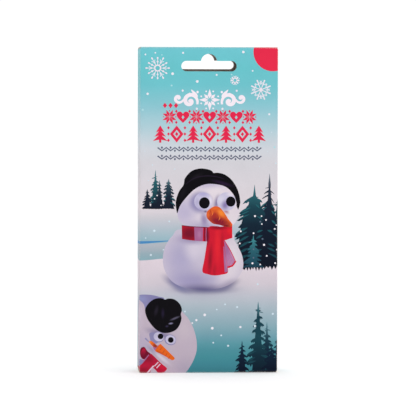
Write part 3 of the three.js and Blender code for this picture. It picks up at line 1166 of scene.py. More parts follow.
    def front(self) -> None:
        """What only the front panel shows, from the sky down to the corner."""
        self.put(Tint.DISC_RED, disc((76.9, 185.4), 11.25, 72))
        self.dots(
            Tint.SNOW_DOT, (3.3, 183.6, 0.5), (9, 184.6, 0.45), (25, 184.6, 0.6), (59.8, 185.2, 0.75),
            (19, 172.6, 0.8), (33.2, 168.2, 0.8), (44.4, 172, 0.55), (65.2, 174.4, 0.5), (4.6, 161, 0.7),
            (74.9, 149.4, 0.6),
        )
        self.dots(
            Tint.DOT_FAINT, (1.8, 151.8, 0.65), (18.4, 165.8, 0.55), (53, 172.2, 0.5), (78, 130.4, 0.6),
            (12.8, 183.4, 0.4),
        )
        self.snow(9, (1, 22), (99, 146), (0.25, 0.5), Tint.FLAKE_SOFT)
        self.snow(9, (58, 79), (118, 146), (0.25, 0.5), Tint.FLAKE_SOFT)
        self.dots(
            Tint.FLAKE_SOFT, (8.6, 82.2, 0.7), (17.2, 87.6, 0.5), (6.6, 68.2, 0.6), (3.6, 78, 0.4),
            (13.8, 71.2, 0.4),
        )
        self.beaded_crystal((10.35, 175.8), 7.1)
        self.rosette((55, 168.9), 2.8, Tint.FLAKE)
        self.rayed_crystal((70, 163.5), 6.05)
        self.ornament_band()

    def back(self) -> None:
        """The rear panel: the same weather, and a bare white card with three small pictures."""
        self.fir((-93, 132), 96, 9, Tint.FIR_TALL, Tint.FIR_STROKE, 14)
        self.fir((-84, 121), 97, 7.4, Tint.FIR_NAVY, Tint.FIR_STROKE, 12)
        self.fir((-33, 118), 93, 7, Tint.FIR_TALL, Tint.FIR_STROKE, 12)
        self.fir((-27, 109), 92.6, 5, Tint.FIR_NAVY, None, 10)
        self.snow(46, (-100, -24), (112, 186), (0.3, 0.75))
        self.beaded_crystal((-88, 158), 6.4)
        self.rayed_crystal((-34, 152), 5.4)
        for tint, rim in ((Tint.CARD_LINE, 0.8), (Tint.CARD_WHITE, 0)):
            self.put(tint, ellipse((-62, 66), 33 + rim, 50 + rim, 96, 0, 9))
        for k, height in enumerate((1, 0.62, 0.26)):
            self.stage((-62, 97 - 30 * k), 12.2, height)

    def stage(self, at: Point, radius: float, height: float) -> None:
        """A round picture of a snowman at one stage of melting.

        Args:
            at: The picture's middle.
            radius: Its radius.
            height: How much of the snowman's height is left, up to 1.
        """
        x, y = at
        self.put(Tint.CARD_LINE, disc(at, radius, 48))
        self.put(Tint.CARD_SNOW, disc(at, radius - 0.7, 48))
        spread = 1 + 0.75 * (1 - height)
        ground = y - radius * 0.62
        self.put(Tint.CARD_SHADE, ellipse((x, ground), radius * 0.62 * spread**0.5, radius * 0.09, 28))
        middle, tall = ground + radius * 0.36 * height, radius * (0.12 + 0.28 * height)
        self.put(Tint.WHITE, ellipse((x, middle), radius * 0.42 * spread, tall, 32))
        head, tall = ground + radius * (0.18 + 0.72 * height), radius * (0.12 + 0.15 * height)
        self.put(Tint.WHITE, ellipse((x, head), radius * 0.26 * spread**0.6, tall, 28))
        crown = head + radius * (0.1 + 0.13 * height)
        self.put(Tint.PUPIL, ellipse((x, crown), radius * 0.3, radius * 0.05, 20))
        self.put(Tint.PUPIL, ellipse((x, crown + radius * 0.1), radius * 0.18, radius * 0.13, 24, 0, 3))
        for side in (-1, 1):
            self.put(Tint.PUPIL, disc((x + side * radius * 0.1, head + radius * 0.04), radius * 0.028, 8))
        nose = [(x, head - radius * 0.01), (x + radius * 0.2, head - radius * 0.06)]
        self.put(Tint.TITLE_RED, stroke(nose, lambda t: radius * 0.08 * (1.05 - t)))
        scarf = head - radius * (0.1 + 0.12 * height)
        self.put(Tint.TITLE_RED, ellipse((x, scarf), radius * 0.24 * spread**0.5, radius * 0.05, 20))

    def compose(self, left: float, right: float) -> None:
        """Draws everything, from the sky to the topmost snow dot.

        Args:
            left: The blank's left end.
            right: Its right end.
        """
        self.landscape(left, right)
        self.back()
        self.snow(10, (-21, -1), (108, 184), (0.3, 0.7))
        self.snow(10, (82, 101), (108, 184), (0.3, 0.7))
        self.front()
        self.forest()
        self.dots(
            Tint.SNOW_DOT, (37.8, 33.5, 0.8), (33, 30.5, 0.65), (42.2, 25.8, 0.8), (58.5, 26.4, 0.65),
            (30.6, 28.8, 0.5),
        )
        self.dots(
            Tint.FLAKE_SOFT, (26.4, 35.5, 0.5), (56.6, 38, 0.6), (49.6, 39.6, 0.5), (44.8, 36.6, 0.45),
            (77.3, 34, 0.6), (67, 27, 0.7), (47.4, 21.6, 0.5), (51.4, 15.6, 0.6), (42.8, 17.4, 0.5),
            (68.5, 51.2, 0.6),
        )
        self.snowman()
        self.melted_snowman()


# --- Board: cutting the blank and folding it ---

BOARD = 0.5
SETBACK = 0.1
BEND = 0.7
BEND_STEPS = 6
# Half width of the pale band at each crease: rubbed coating and painted highlight.
CREASE_RUB_AND_HIGHLIGHT = 1.5
EDGE_WEAR = 0.35

RIGHT, LEFT = (1, 0, 0), (-1, 0, 0)
REARWARD, FORWARD = (0, 1, 0), (0, -1, 0)
UP, DOWN = (0, 0, 1), (0, 0, -1)


def box_mm(node: str) -> tuple[np.ndarray, np.ndarray]:
    """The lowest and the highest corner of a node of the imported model, in millimetres."""
    low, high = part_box(node)
    return np.round(np.array(low) / MM, 3), np.round(np.array(high) / MM, 3)


def hang_slot(middle: float, low: float, height: float) -> Loop:
    """A euro hang slot: a round-ended slot with a crown over its middle.

    Args:
        middle: The slot's middle across the blank.
        low: Its lower edge up the blank.
        height: The height of its straight part.

    Returns:
        The slot's outline, anticlockwise.
    """
    end, half, radius, rise = height / 2, 16, 4.7, 4.1
    crown = low + height + rise - radius
    foot = degrees(asin((low + height - crown) / radius))
    arcs = (
        (middle + half - end, low + end, end, -90, 90),
        (middle, crown, radius, foot, 180 - foot),
        (middle - half + end, low + end, end, 90, 270),
    )
    loop = []
    for x, y, reach, start, stop in arcs:
        for k in range(15):
            angle = radians(start + (stop - start) * k / 14)
            loop.append((x + reach * cos(angle), y + reach * sin(angle)))
    return loop


def inset(loop: Loop, distance: float) -> Loop:
    """The loop moved to the left of its own direction.

    Args:
        loop: The loop.
        distance: How far it is moved.

    Returns:
        The moved loop.
    """
    moved = []
    count = len(loop)
    for k, (x, y) in enumerate(loop):
        (x0, y0), (x1, y1) = loop[k - 1], loop[(k + 1) % count]
        ways = []
        for dx, dy in ((x - x0, y - y0), (x1 - x, y1 - y)):
            length = hypot(dx, dy) or 1
            ways.append((-dy / length, dx / length))
        nx, ny = ways[0][0] + ways[1][0], ways[0][1] + ways[1][1]
        scale = distance * 2 / max(nx * nx + ny * ny, 0.8)
        moved.append((x + nx * scale, y + ny * scale))
    return moved


def enclosed(loops: Iterable[Loop], spots: np.ndarray) -> np.ndarray:
    """Which spots are inside an odd number of the loops.

    Args:
        loops: Closed outlines.
        spots: Places on the blank, one a row.

    Returns:
        True for each spot that is inside.
    """
    odd = np.zeros(len(spots), bool)
    x, y = spots[:, 0], spots[:, 1]
    for loop in loops:
        for (x0, y0), (x1, y1) in zip(loop, loop[1:] + loop[:1]):
            if y0 == y1:
                continue
            crosses = (y0 > y) != (y1 > y)
            odd ^= crosses & (x < x0 + (y - y0) * (x1 - x0) / (y1 - y0))
    return odd


@dataclass(frozen=True)
class Crease:
    """A crease: where its outer corner is on the blank, and how far the board turns there."""

    at: float
    angle_deg: float = 90


@dataclass(frozen=True)
class Folding:
    """Puts flat board in its place and folds it inwards about its parallel creases.

    The board starts flat at `start` on the blank and is followed both ways from there. The
    vectors say where the blank's directions point before the first crease.
    """

    origin: Triple
    run: Triple
    reach: Triple
    inward: Triple
    start: float
    creases: tuple[Crease, ...]
    upright: bool = False

    def place(self, spots: np.ndarray, depth: float) -> np.ndarray:
        """Where spots of the blank come to lie.

        Args:
            spots: Their places on the blank, one a row.
            depth: How far below the printed face they are.

        Returns:
            Their places in the carton's frame, in millimetres.
        """
        along, beside = (spots[:, 0], spots[:, 1]) if self.upright else (spots[:, 1], spots[:, 0])
        offset = along - self.start
        x, y = np.zeros(len(spots)), np.zeros(len(spots))
        for side in (1, -1):
            mine = side * offset >= 0
            turns = ((side * (crease.at - self.start), crease.angle_deg) for crease in self.creases)
            ahead = sorted(turn for turn in turns if turn[0] > 0)
            walked, sunk = self._walk(side * offset[mine], depth, ahead)
            x[mine], y[mine] = side * walked, sunk
        parts = ((x, self.run), (beside, self.reach), (y, self.inward))
        return np.array(self.origin) + sum(np.outer(value, way) for value, way in parts)

    @staticmethod
    def _walk(
        way: np.ndarray, depth: float, creases: list[tuple[float, float]]
    ) -> tuple[np.ndarray, np.ndarray]:
        """Follows the board from its start over each crease.

        Args:
            way: How far along the board each spot is.
            depth: How far below the printed face they all are.
            creases: The place and the angle of each crease, in order.

        Returns:
            How far each spot is from the start, along the first direction and inwards.
        """
        x, y = np.zeros_like(way), np.zeros_like(way)
        at, turn, passed = np.zeros(2), 0, 0
        for place, angle in (*creases, (1e6, 0)):
            heading = np.array((cos(turn), sin(turn)))
            normal = np.array((-heading[1], heading[0]))
            begin = place - BEND
            flat = (way >= passed) & (way <= begin)
            spot = at + np.outer(way[flat] - passed, heading) + normal * depth
            x[flat], y[flat] = spot[:, 0], spot[:, 1]
            centre = at + heading * (begin - passed) + normal * BEND
            bent = (way > begin) & (way < begin + 2 * BEND)
            turned = turn + radians(angle) * (way[bent] - begin) / (2 * BEND)
            x[bent] = centre[0] + (BEND - depth) * np.sin(turned)
            y[bent] = centre[1] - (BEND - depth) * np.cos(turned)
            turn += radians(angle)
            at = centre + BEND * np.array((sin(turn), -cos(turn)))
            passed = begin + 2 * BEND
        return x, y

    def lines(self, low: Point, high: Point) -> list[tuple[Point, Point]]:
        """Straight lines across the board at which it bends or its rub and painted crease highlight change.

        Args:
            low: The board's lower left corner on the blank.
            high: Its upper right corner.

        Returns:
            The two ends of each line.
        """
        steps = [2 * BEND * k / BEND_STEPS - BEND for k in range(BEND_STEPS + 1)]
        found = []
        for crease in self.creases:
            for offset in (-CREASE_RUB_AND_HIGHLIGHT, *steps, CREASE_RUB_AND_HIGHLIGHT):
                at = crease.at + offset
                if self.upright:
                    found.append(((at, low[1] - 1), (at, high[1] + 1)))
                else:
                    found.append(((low[0] - 1, at), (high[0] + 1, at)))
        return found


def mirrored(half: Loop, middle: float) -> Loop:
    """A whole outline, from its half on one side of an upright line."""
    return half + [(2 * middle - x, y) for x, y in half[::-1]]


def new_object(name: str, data: bpy.types.ID) -> bpy.types.Object:
    """Adds an object to the scene.

    Args:
        name: Its name.
        data: Its mesh, lamp or camera.

    Returns:
        The object.
    """
    item = bpy.data.objects.new(name, data)
    bpy.context.scene.collection.objects.link(item)
    return item


class PrintShop:
    """The finishes of the carton: one for each ink, one for bare board and one for cut edges."""

    def __init__(self) -> None:
        """Starts with no finish made."""
        self.made: dict[str, bpy.types.Material] = {}

    def ink(self, tint: Tint) -> bpy.types.Material:
        """The finish of board printed with that ink.

        Args:
            tint: The ink.

        Returns:
            The material, made once.
        """
        name = "print_" + tint.name.lower()
        if name not in self.made:
            bench, place = self._start(name)
            shade = tint.value.colour(bench, place)
            cloud = bench.noise(place, 0.07, 2) * 0.09 + bench.noise(place, 1.1, 3) * 0.07 + 0.92
            shade = bench.add("ShaderNodeVectorMath", {"operation": "SCALE"}, {0: shade, "Scale": cloud})
            # Paler along creases and cut edges: rubbed, cracked coating, and along the creases also a
            # painted highlight where the rounded fold catches the light.
            rub_and_highlight = bench.attribute("wear") * (bench.noise(place, 1.7, 3) + 0.36)
            shade = bench.mix(shade, "#e6dfdc", rub_and_highlight.step(0.62, 1, 0, 0.62))
            fibre = bench.noise(place, 5, 3)
            rough = bench.noise(place, 0.4, 2) * 0.12 + rub_and_highlight.step(0.5, 1, 0, 0.25) + 0.36
            self._surface(bench, shade, rough, fibre * 0.6 + bench.noise(place, 0.9) * 0.8, 0.1, 0.04)
        return self.made[name]

    def raw(self) -> bpy.types.Material:
        """The finish of bare recycled board: grey brown, with flecks and fibres.

        Returns:
            The material, made once.
        """
        if "raw_board" not in self.made:
            bench, place = self._start("raw_board")
            stretch = {"Vector": place, "Scale": (0.5, 2.6, 1)}
            long = bench.add("ShaderNodeMapping", {"vector_type": "POINT"}, stretch)
            fibre = bench.noise(long, 1.6, 4)
            shade = bench.mix("#c2b6aa", "#ded4ca", fibre.step(0.3, 0.72))
            shade = bench.mix(shade, "#8a7d72", bench.noise(place, 2.6, 3).step(0.64, 0.76, 0, 0.5))
            shade = bench.mix(shade, "#ece5dd", bench.noise(long, 3.3, 2).step(0.66, 0.78, 0, 0.6))
            # Paler along creases and cut edges, from the same mask of rubbed board and painted crease
            # highlight.
            shade = bench.mix(shade, "#e0d7cc", bench.attribute("wear").step(0.3, 1, 0, 0.3))
            relief = fibre + bench.noise(place, 4, 3)
            self._surface(bench, shade, fibre * 0.15 + 0.78, relief, 0.35, 0.2)
        return self.made["raw_board"]

    def cut(self) -> bpy.types.Material:
        """The finish of a cut edge: a white coated face over layers of grey pulp.

        Returns:
            The material, made once.
        """
        if "cut_edge" not in self.made:
            bench, place = self._start("cut_edge")
            depth = bench.add("ShaderNodeSeparateXYZ", None, {0: place}, "Z")
            ragged = depth + bench.noise(place, 3, 3) * 0.12
            layers = bench.noise(place, 9, 2)
            pulp = bench.mix("#b5aaa0", "#d3c9bf", layers.step(0.35, 0.7))
            shade = bench.mix("#e3ddd8", pulp, ragged.step(0.1, 0.2))
            self._surface(bench, shade, layers * 0.1 + 0.82, layers + bench.noise(place, 2), 0.5, 0.2)
        return self.made["cut_edge"]

    def _start(self, name: str) -> tuple[Bench, Wire]:
        """Adds an empty material and gives its bench and the place on the blank.

        Args:
            name: The material's name.

        Returns:
            Its bench, and the place on the blank as a wire.
        """
        material = bpy.data.materials.new(name)
        material.use_nodes = True
        self.made[name] = material
        bench = Bench(material.node_tree)
        return bench, bench.attribute("blank_mm", "Vector")

    @staticmethod
    def _surface(
        bench: Bench, shade: Wire, rough: Wire, height: Wire, bump: float, specular: float
    ) -> None:
        """Joins colour, roughness and relief to the material's surface.

        Args:
            bench: Adds the nodes.
            shade: The colour.
            rough: The roughness.
            height: The relief, about 0 to 1.
            bump: How strongly the relief shows.
            specular: The level of the sheen.
        """
        relief = {"Strength": bump, "Distance": 0.03 * MM, "Height": height}
        sockets = {
            "Base Color": shade,
            "Roughness": rough,
            "Normal": bench.add("ShaderNodeBump", None, relief),
            "Specular IOR Level": specular,
        }
        bench.end(bench.add("ShaderNodeBsdfPrincipled", None, sockets))


@dataclass
class Sheet:
    """One piece of board: how it is cut from the blank, printed and folded."""

    name: str
    outline: Loop
    folding: Folding
    slots: list[Loop] = field(default_factory=list)
    printed: bool = True

    def make(self, shop: PrintShop, figures: list[Figure]) -> bpy.types.Object:
        """Cuts, prints and folds the board.

        Args:
            shop: Has the finishes.
            figures: The whole artwork, lowest first.

        Returns:
            The piece.
        """
        low = (min(x for x, _ in self.outline), min(y for _, y in self.outline))
        high = (max(x for x, _ in self.outline), max(y for _, y in self.outline))
        mine = [f for f in figures if self._meets(f, low, high)] if self.printed else []
        cuts = [self.outline, inset(self.outline, EDGE_WEAR)]
        for hole in self.slots:
            cuts += [hole, inset(hole, -EDGE_WEAR)]
        loops = cuts + [loop for figure in mine for loop in figure.loops]
        spots, faces = self._triangulate(loops, self.folding.lines(low, high))
        inks = self._inks(spots[faces].mean(1), mine)
        return self._build(shop, spots, faces, inks)

    @staticmethod
    def _meets(figure: Figure, low: Point, high: Point) -> bool:
        """Whether a figure's box meets the piece's box.

        Args:
            figure: The figure.
            low: The piece's lower left corner.
            high: Its upper right corner.

        Returns:
            True if the figure may show on the piece.
        """
        xs = [x for loop in figure.loops for x, _ in loop]
        ys = [y for loop in figure.loops for _, y in loop]
        return min(xs) < high[0] and max(xs) > low[0] and min(ys) < high[1] and max(ys) > low[1]

    def _triangulate(
        self, loops: list[Loop], lines: list[tuple[Point, Point]]
    ) -> tuple[np.ndarray, np.ndarray]:
        """Splits the board along every loop and line.

        Args:
            loops: Closed outlines.
            lines: Straight lines.

        Returns:
            The corners on the blank, and the triangles that are board.
        """
        verts: list[Vector] = []
        edges: list[tuple[int, int]] = []
        for loop in loops:
            first = len(verts)
            verts += [Vector(point) for point in loop]
            edges += [(first + k, first + (k + 1) % len(loop)) for k in range(len(loop))]
        for line in lines:
            edges.append((len(verts), len(verts) + 1))
            verts += [Vector(point) for point in line]
        result = delaunay_2d_cdt(verts, edges, [], 0, 5e-4)
        spots = np.array([tuple(v) for v in result[0]])
        faces = np.array([tuple(f) for f in result[2]])
        middle = spots[faces].mean(1)
        keep = enclosed([self.outline], middle) & ~enclosed(self.slots, middle)
        a, b, c = (spots[faces[:, k]] for k in range(3))
        area = np.cross(b - a, c - a)
        faces[area < 0] = faces[area < 0][:, ::-1]
        return spots, faces[keep & (np.abs(area) > 1e-7)]

    @staticmethod
    def _inks(middle: np.ndarray, figures: list[Figure]) -> list[Tint | None]:
        """The topmost figure's ink at each spot.

        Args:
            middle: Places on the blank, one a row.
            figures: The figures, lowest first.

        Returns:
            An ink for each spot, None for bare board.
        """
        found: list[Tint | None] = [None] * len(middle)
        free = np.ones(len(middle), bool)
        for figure in reversed(figures):
            corners = np.array([point for loop in figure.loops for point in loop])
            low, high = corners.min(0), corners.max(0)
            near = np.flatnonzero(free & (middle >= low).all(1) & (middle <= high).all(1))
            if len(near):
                for index in near[enclosed(figure.loops, middle[near])]:
                    found[index] = figure.tint
                    free[index] = False
        return found

    def _wear(self, spots: np.ndarray) -> np.ndarray:
        """Rub and painted crease highlight at each spot: 1 on a crease or a cut edge, 0 away from both.

        Args:
            spots: Places on the blank, one a row.

        Returns:
            Their rub and painted highlight.
        """
        along = spots[:, 0] if self.folding.upright else spots[:, 1]
        wear = np.zeros(len(spots))
        for crease in self.folding.creases:
            wear = np.maximum(wear, 1 - np.abs(along - crease.at) / CREASE_RUB_AND_HIGHLIGHT)
        for loop in (self.outline, *self.slots):
            for start, end in zip(loop, loop[1:] + loop[:1]):
                a, way = np.array(start), np.subtract(end, start)
                share = np.clip(((spots - a) @ way) / max(way @ way, 1e-9), 0, 1)
                gap = np.linalg.norm(spots - a - np.outer(share, way), axis=1)
                wear = np.maximum(wear, 0.9 - gap / EDGE_WEAR * 0.9)
        return wear

    def _build(
        self, shop: PrintShop, spots: np.ndarray, faces: np.ndarray, inks: list[Tint | None]
    ) -> bpy.types.Object:
        """Makes the folded piece.

        Args:
            shop: Has the finishes.
            spots: The corners on the blank.
            faces: The triangles of the printed face.
            inks: Their inks, None for bare board.

        Returns:
            The piece.
        """
        used, faces = np.unique(faces, return_inverse=True)
        faces = faces.reshape(-1, 3)
        spots = spots[used]
        count = len(spots)
        sides = {(a, b) for face in faces for a, b in zip(face, np.roll(face, -1))}
        rim = [(a, b) for a, b in sides if (b, a) not in sides]
        rim.sort()
        points = np.vstack([self.folding.place(spots, 0), self.folding.place(spots, BOARD)]) * MM
        polygons = [tuple(map(int, face)) for face in faces]
        polygons += [tuple(int(k) + count for k in face[::-1]) for face in faces]
        polygons += [(int(b), int(a), int(a) + count, int(b) + count) for a, b in rim]
        mesh = bpy.data.meshes.new(self.name)
        mesh.from_pydata([tuple(p) for p in points], [], polygons)
        materials = [shop.raw(), shop.cut()]
        slots = {None: 0}
        for tint in dict.fromkeys(inks):
            if tint is not None:
                slots[tint] = len(materials)
                materials.append(shop.ink(tint))
        for material in materials:
            mesh.materials.append(material)
        index = [slots[tint] for tint in inks] + [0] * len(faces) + [1] * len(rim)
        mesh.polygons.foreach_set("material_index", index)
        blank = np.zeros((2 * count, 3), np.float32)
        blank[:count, :2] = blank[count:, :2] = spots
        blank[count:, 2] = BOARD
        mesh.attributes.new("blank_mm", "FLOAT_VECTOR", "POINT").data.foreach_set("vector", blank.ravel())
        # Rubbed coating at creases and cut edges, with the painted crease highlight, on both faces.
        wear = np.tile(self._wear(spots), 2).astype(np.float32)
        mesh.attributes.new("wear", "FLOAT", "POINT").data.foreach_set("value", wear)
        self._chart(mesh, spots, len(faces), len(rim))
        mesh.shade_smooth()
        mesh.set_sharp_from_angle(angle=radians(40))
        piece = new_object(self.name, mesh)
        LOG.info("%s: %d triangles", self.name, 2 * len(faces) + 2 * len(rim))
        return piece

    def _chart(self, mesh: bpy.types.Mesh, spots: np.ndarray, face_count: int, rim_count: int) -> None:
        """Lays the printed face, the bare face and the cut edges out on one map.

        Args:
            mesh: The folded mesh.
            spots: The corners of one face on the blank.
            face_count: How many triangles each face has.
            rim_count: How many quads the cut edges have.
        """
        low, size = spots.min(0), np.ptp(spots, axis=0)
        share = (spots - low) / size
        outer = 0.005 + 0.99 * share[:, 0], 0.2 + 0.795 * share[:, 1]
        inner = 0.005 + 0.99 * share[:, 0], 0.005 + 0.165 * share[:, 1]
        corners = np.zeros(len(mesh.loops), np.int64)
        mesh.loops.foreach_get("vertex_index", corners)
        places = np.stack([np.concatenate(pair) for pair in zip(outer, inner)], 1)[corners]
        first = 6 * face_count
        step = 0.99 / rim_count
        for k in range(rim_count):
            left, right = 0.005 + step * k, 0.005 + step * (k + 0.9)
            quad = ((right, 0.195), (left, 0.195), (left, 0.176), (right, 0.176))
            places[first + 4 * k : first + 4 * k + 4] = quad
        chart = mesh.uv_layers.new(name="OFBake")
        chart.data.foreach_set("uv", places.astype(np.float32).ravel())


# --- The carton's pieces ---


@dataclass
class Sleeve:
    """The four walls and the glue flap, one sheet folded round the carton.

    Across the blank it runs glue flap, back, left side, front, right side.
    """

    width: float
    depth: float
    front: Point
    sides: Point
    back: Point
    glue: Point
    glue_width: float
    glue_taper: float = 6
    overlap: float = 0.6

    @classmethod
    def of_model(cls) -> Sleeve:
        """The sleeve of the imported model; its ends are set back to where their creases start.

        Returns:
            The sleeve.
        """
        front_low, front_high = box_mm("front_panel")
        back_low, back_high = box_mm("back_panel")
        side_low, side_high = box_mm("left_side_panel")
        glue_low, glue_high = box_mm("glue_flap")
        return cls(
            width=front_high[0] - front_low[0],
            depth=back_high[1] - front_low[1],
            front=(front_low[2] + SETBACK, front_high[2] - SETBACK),
            sides=(side_low[2] + SETBACK, side_high[2] - SETBACK),
            back=(back_low[2] + SETBACK, back_high[2]),
            glue=(glue_low[2], glue_high[2]),
            glue_width=glue_high[1] - glue_low[1],
        )

    def outline(self) -> Loop:
        """The sleeve's outline on the blank, anticlockwise.

        Returns:
            The outline.
        """
        depth, width = self.depth, self.width
        back, glue = -depth - width, -depth - width - self.glue_width
        half = []
        for end, taper in ((0, self.glue_taper), (1, -self.glue_taper)):
            parts = (self.front, self.sides, self.back, self.glue)
            front, sides, rear, flap = (part[end] for part in parts)
            line = [(glue, flap + taper), (back + 0.1, flap), (back + 1.1, rear)]
            line += self._corner(-depth, rear, sides, False) + self._corner(0, front, sides, True)[::-1]
            line += self._corner(width, front, sides, False) + [(width + depth, sides)]
            half.append(line)
        return half[0] + half[1][::-1]

    def back_edge(self) -> Loop:
        """The back panel's free upper edge, between the wear of its two creases."""
        top, left = self.back[1], -self.depth - self.width
        return [(-self.depth - 1.2, top), (-self.depth - self.width / 2, top), (left + 1.4, top)]

    @staticmethod
    def _corner(crease: float, panel: float, side: float, mirror: bool) -> Loop:
        """The end of the board round a crease, from a wide panel's end down to a side panel's.

        Args:
            crease: Where the crease is.
            panel: Where the wide panel ends.
            side: Where the side panel ends.
            mirror: Whether the side panel is on the left.

        Returns:
            The points, from the wide panel to the side panel.
        """
        way = -1 if mirror else 1
        shape = ((-0.9, 0), (-0.5, 0.03), (-0.1, 0.25), (0.5, 0.75), (0.9, 1))
        return [(crease + way * x, panel + (side - panel) * share) for x, share in shape]

    def sheet(self) -> Sheet:
        """The sleeve, ready to be cut.

        Returns:
            The sheet.
        """
        glued = self.overlap - self.depth - self.width
        creases = tuple(Crease(at) for at in (self.width, 0, -self.depth, glued))
        origin = (0, -self.depth / 2, 0)
        folding = Folding(origin, RIGHT, UP, REARWARD, self.width / 2, creases, True)
        top = self.back[1]
        slots = [
            hang_slot(self.width / 2, top - 14, 6),
            hang_slot(-self.depth - self.width / 2, top - 12.4, 5),
        ]
        return Sheet("sleeve", self.outline(), folding, slots)


@dataclass
class Closures:
    """Everything that closes the carton's two ends."""

    top: float
    half: float
    front: float
    lid_half: float
    lid_reach: float
    tab_half: float
    dust_length: float
    outer_reach: float
    inner_reach: float
    side_ends: Point
    tab_length: float = 13

    @classmethod
    def of_model(cls) -> Closures:
        """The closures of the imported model.

        Returns:
            The closures.
        """
        panel_low, panel_high = box_mm("front_panel")
        lid_low, lid_high = box_mm("top_lid")
        _, tab_high = box_mm("top_tuck_tab")
        dust_low, dust_high = box_mm("top_dust_flap_left")
        outer_low, outer_high = box_mm("base_outer_flap")
        inner_low, inner_high = box_mm("base_inner_flap")
        side_low, side_high = box_mm("left_side_panel")
        return cls(
            top=panel_high[2] - SETBACK,
            half=panel_high[0],
            front=panel_low[1],
            lid_half=lid_high[0],
            lid_reach=lid_high[1] - lid_low[1] - BEND,
            tab_half=tab_high[0],
            dust_length=dust_high[0] - dust_low[0],
            outer_reach=outer_high[1] - outer_low[1],
            inner_reach=inner_high[1] - inner_low[1],
            side_ends=(round(side_low[2] + SETBACK, 3), round(side_high[2] - SETBACK, 3)),
        )

    def lid(self) -> Sheet:
        """The top lid, from its crease on the front to the tab's crease.

        Returns:
            The sheet.
        """
        top, end, right = self.top, self.top + BEND + self.lid_reach, self.half + self.lid_half
        left = 2 * self.half - right
        outline = [(0.9, top), (2 * self.half - 0.9, top), (right, top + 1.2), (right, end)]
        outline += [(left, end), (left, top + 1.2)]
        origin = (-self.half, self.front, top)
        folding = Folding(origin, UP, RIGHT, REARWARD, top, (Crease(top + BEND),))
        return Sheet("lid", outline, folding)

    def lid_edges(self) -> list[Loop]:
        """The lid's two cut sides, with the board on the left of each.

        Returns:
            Each side's points.
        """
        end, right = self.top + BEND + self.lid_reach, self.half + self.lid_half
        places = (self.top + 1.6, self.top + 10.1, end)
        left = 2 * self.half - right
        return [[(right, y) for y in places], [(left, y) for y in places[::-1]]]

    def tab(self) -> Sheet:
        """The tuck tab at the lid's free edge, cut away behind the hang slots.

        Returns:
            The sheet.
        """
        base = self.top + BEND + self.lid_reach
        end, bridge = base + BEND + self.tab_length, base + BEND + 2.5
        corner, relief = 5, 18
        edge = self.half + self.tab_half
        right = [(edge, base), (edge, end - corner)]
        turns = [TAU * k / 24 for k in range(1, 7)]
        right += [(edge + corner * (cos(a) - 1), end + corner * (sin(a) - 1)) for a in turns]
        notch = self.half + relief
        right += [(notch + 1, end), (notch, end - 1), (notch, bridge + 1), (notch - 1, bridge)]
        origin = (-self.half, self.front + self.lid_reach, self.top + BEND)
        folding = Folding(origin, REARWARD, RIGHT, DOWN, base, (Crease(base + BEND, 110),))
        return Sheet("tuck_tab", mirrored(right, self.half), folding)

    def top_dust_flap(self, right: bool) -> Sheet:
        """A dust flap under the lid; its front edge slants and its corners are round.

        Args:
            right: Whether it hangs on the right side panel.

        Returns:
            The flap, ready to be cut.
        """
        low, depth, slant = self.side_ends[1], -2 * self.front, 0.3
        end = low + BEND + self.dust_length
        near, far = -0.6, 0.6 - depth
        tip, step = near - slant * self.dust_length, far + 2.5
        outline = [
            (1 - depth, low), (-1, low), (near, low + 1.4),
            (near - slant * (self.dust_length - 3), end - 3), (tip - 1, end - 0.8), (tip - 3, end),
            (step + 3, end), (step + 0.8, end - 0.8), (step, end - 3), (step, low + 6),
            (far, low + 3), (far, low + 1.4),
        ]
        return self._side_flap("top_dust_flap", outline, right, low, low + BEND)

    def base_dust_flap(self, right: bool) -> Sheet:
        """A plain dust flap inside the base.

        Args:
            right: Whether it hangs on the right side panel.

        Returns:
            The flap, ready to be cut.
        """
        top, depth = self.side_ends[0], -2 * self.front
        crease = top - BEND
        end = crease - self.dust_length
        half = [(1, top), (0.6, top - 1.4), (0.6, end + 3), (1.5, end + 0.9), (3.6, end)]
        outline = [(x - depth, y) for x, y in half] + [(-x, y) for x, y in half[::-1]]
        return self._side_flap("base_dust_flap", outline, right, top, crease, False)

    def _side_flap(
        self, name: str, outline: Loop, right: bool, start: float, crease: float, printed: bool = True
    ) -> Sheet:
        """A flap of one of the two side panels, drawn as the left panel's.

        Args:
            name: The flap's name, without its side.
            outline: Its outline below or above the left side panel.
            right: Whether it is the right panel's instead.
            start: Where it leaves the panel.
            crease: Where its crease is.
            printed: Whether the artwork runs on over it.

        Returns:
            The flap, ready to be cut.
        """
        origin, reach, inward = (-self.half, self.front, start), FORWARD, RIGHT
        if right:
            width = 2 * self.half
            outline = [(width - x, y) for x, y in outline][::-1]
            origin, reach, inward = (self.half, self.front - width, start), REARWARD, LEFT
        folding = Folding(origin, UP, reach, inward, start, (Crease(crease),))
        return Sheet(name + ("_right" if right else "_left"), outline, folding, [], printed)

    def base_outer_flap(self) -> Sheet:
        """The base's outer flap, which hangs on the front panel.

        Returns:
            The sheet.
        """
        end, start = -self.outer_reach, BEND
        half = [(0.9, start), (0.2, start - 1.2), (0.2, end + 1.5), (1.7, end)]
        folding = Folding((-self.half, self.front, start), UP, RIGHT, REARWARD, start, (Crease(0),))
        return Sheet("base_outer_flap", mirrored(half, self.half), folding)

    def base_inner_flap(self) -> Sheet:
        """The base's inner flap, which hangs on the back panel and is glued to the outer one.

        Returns:
            The sheet.
        """
        crease, start = 0.6, 1.3
        end = crease - self.inner_reach
        left = 2 * self.front - 2 * self.half
        half = [(left + 0.9, start), (left + 0.2, 0.1), (left + 0.2, end + 2.4), (left + 2.6, end)]
        middle = left + self.half
        folding = Folding((middle, -self.front, start), UP, LEFT, FORWARD, start, (Crease(crease),))
        return Sheet("base_inner_flap", mirrored(half, middle), folding, [], False)


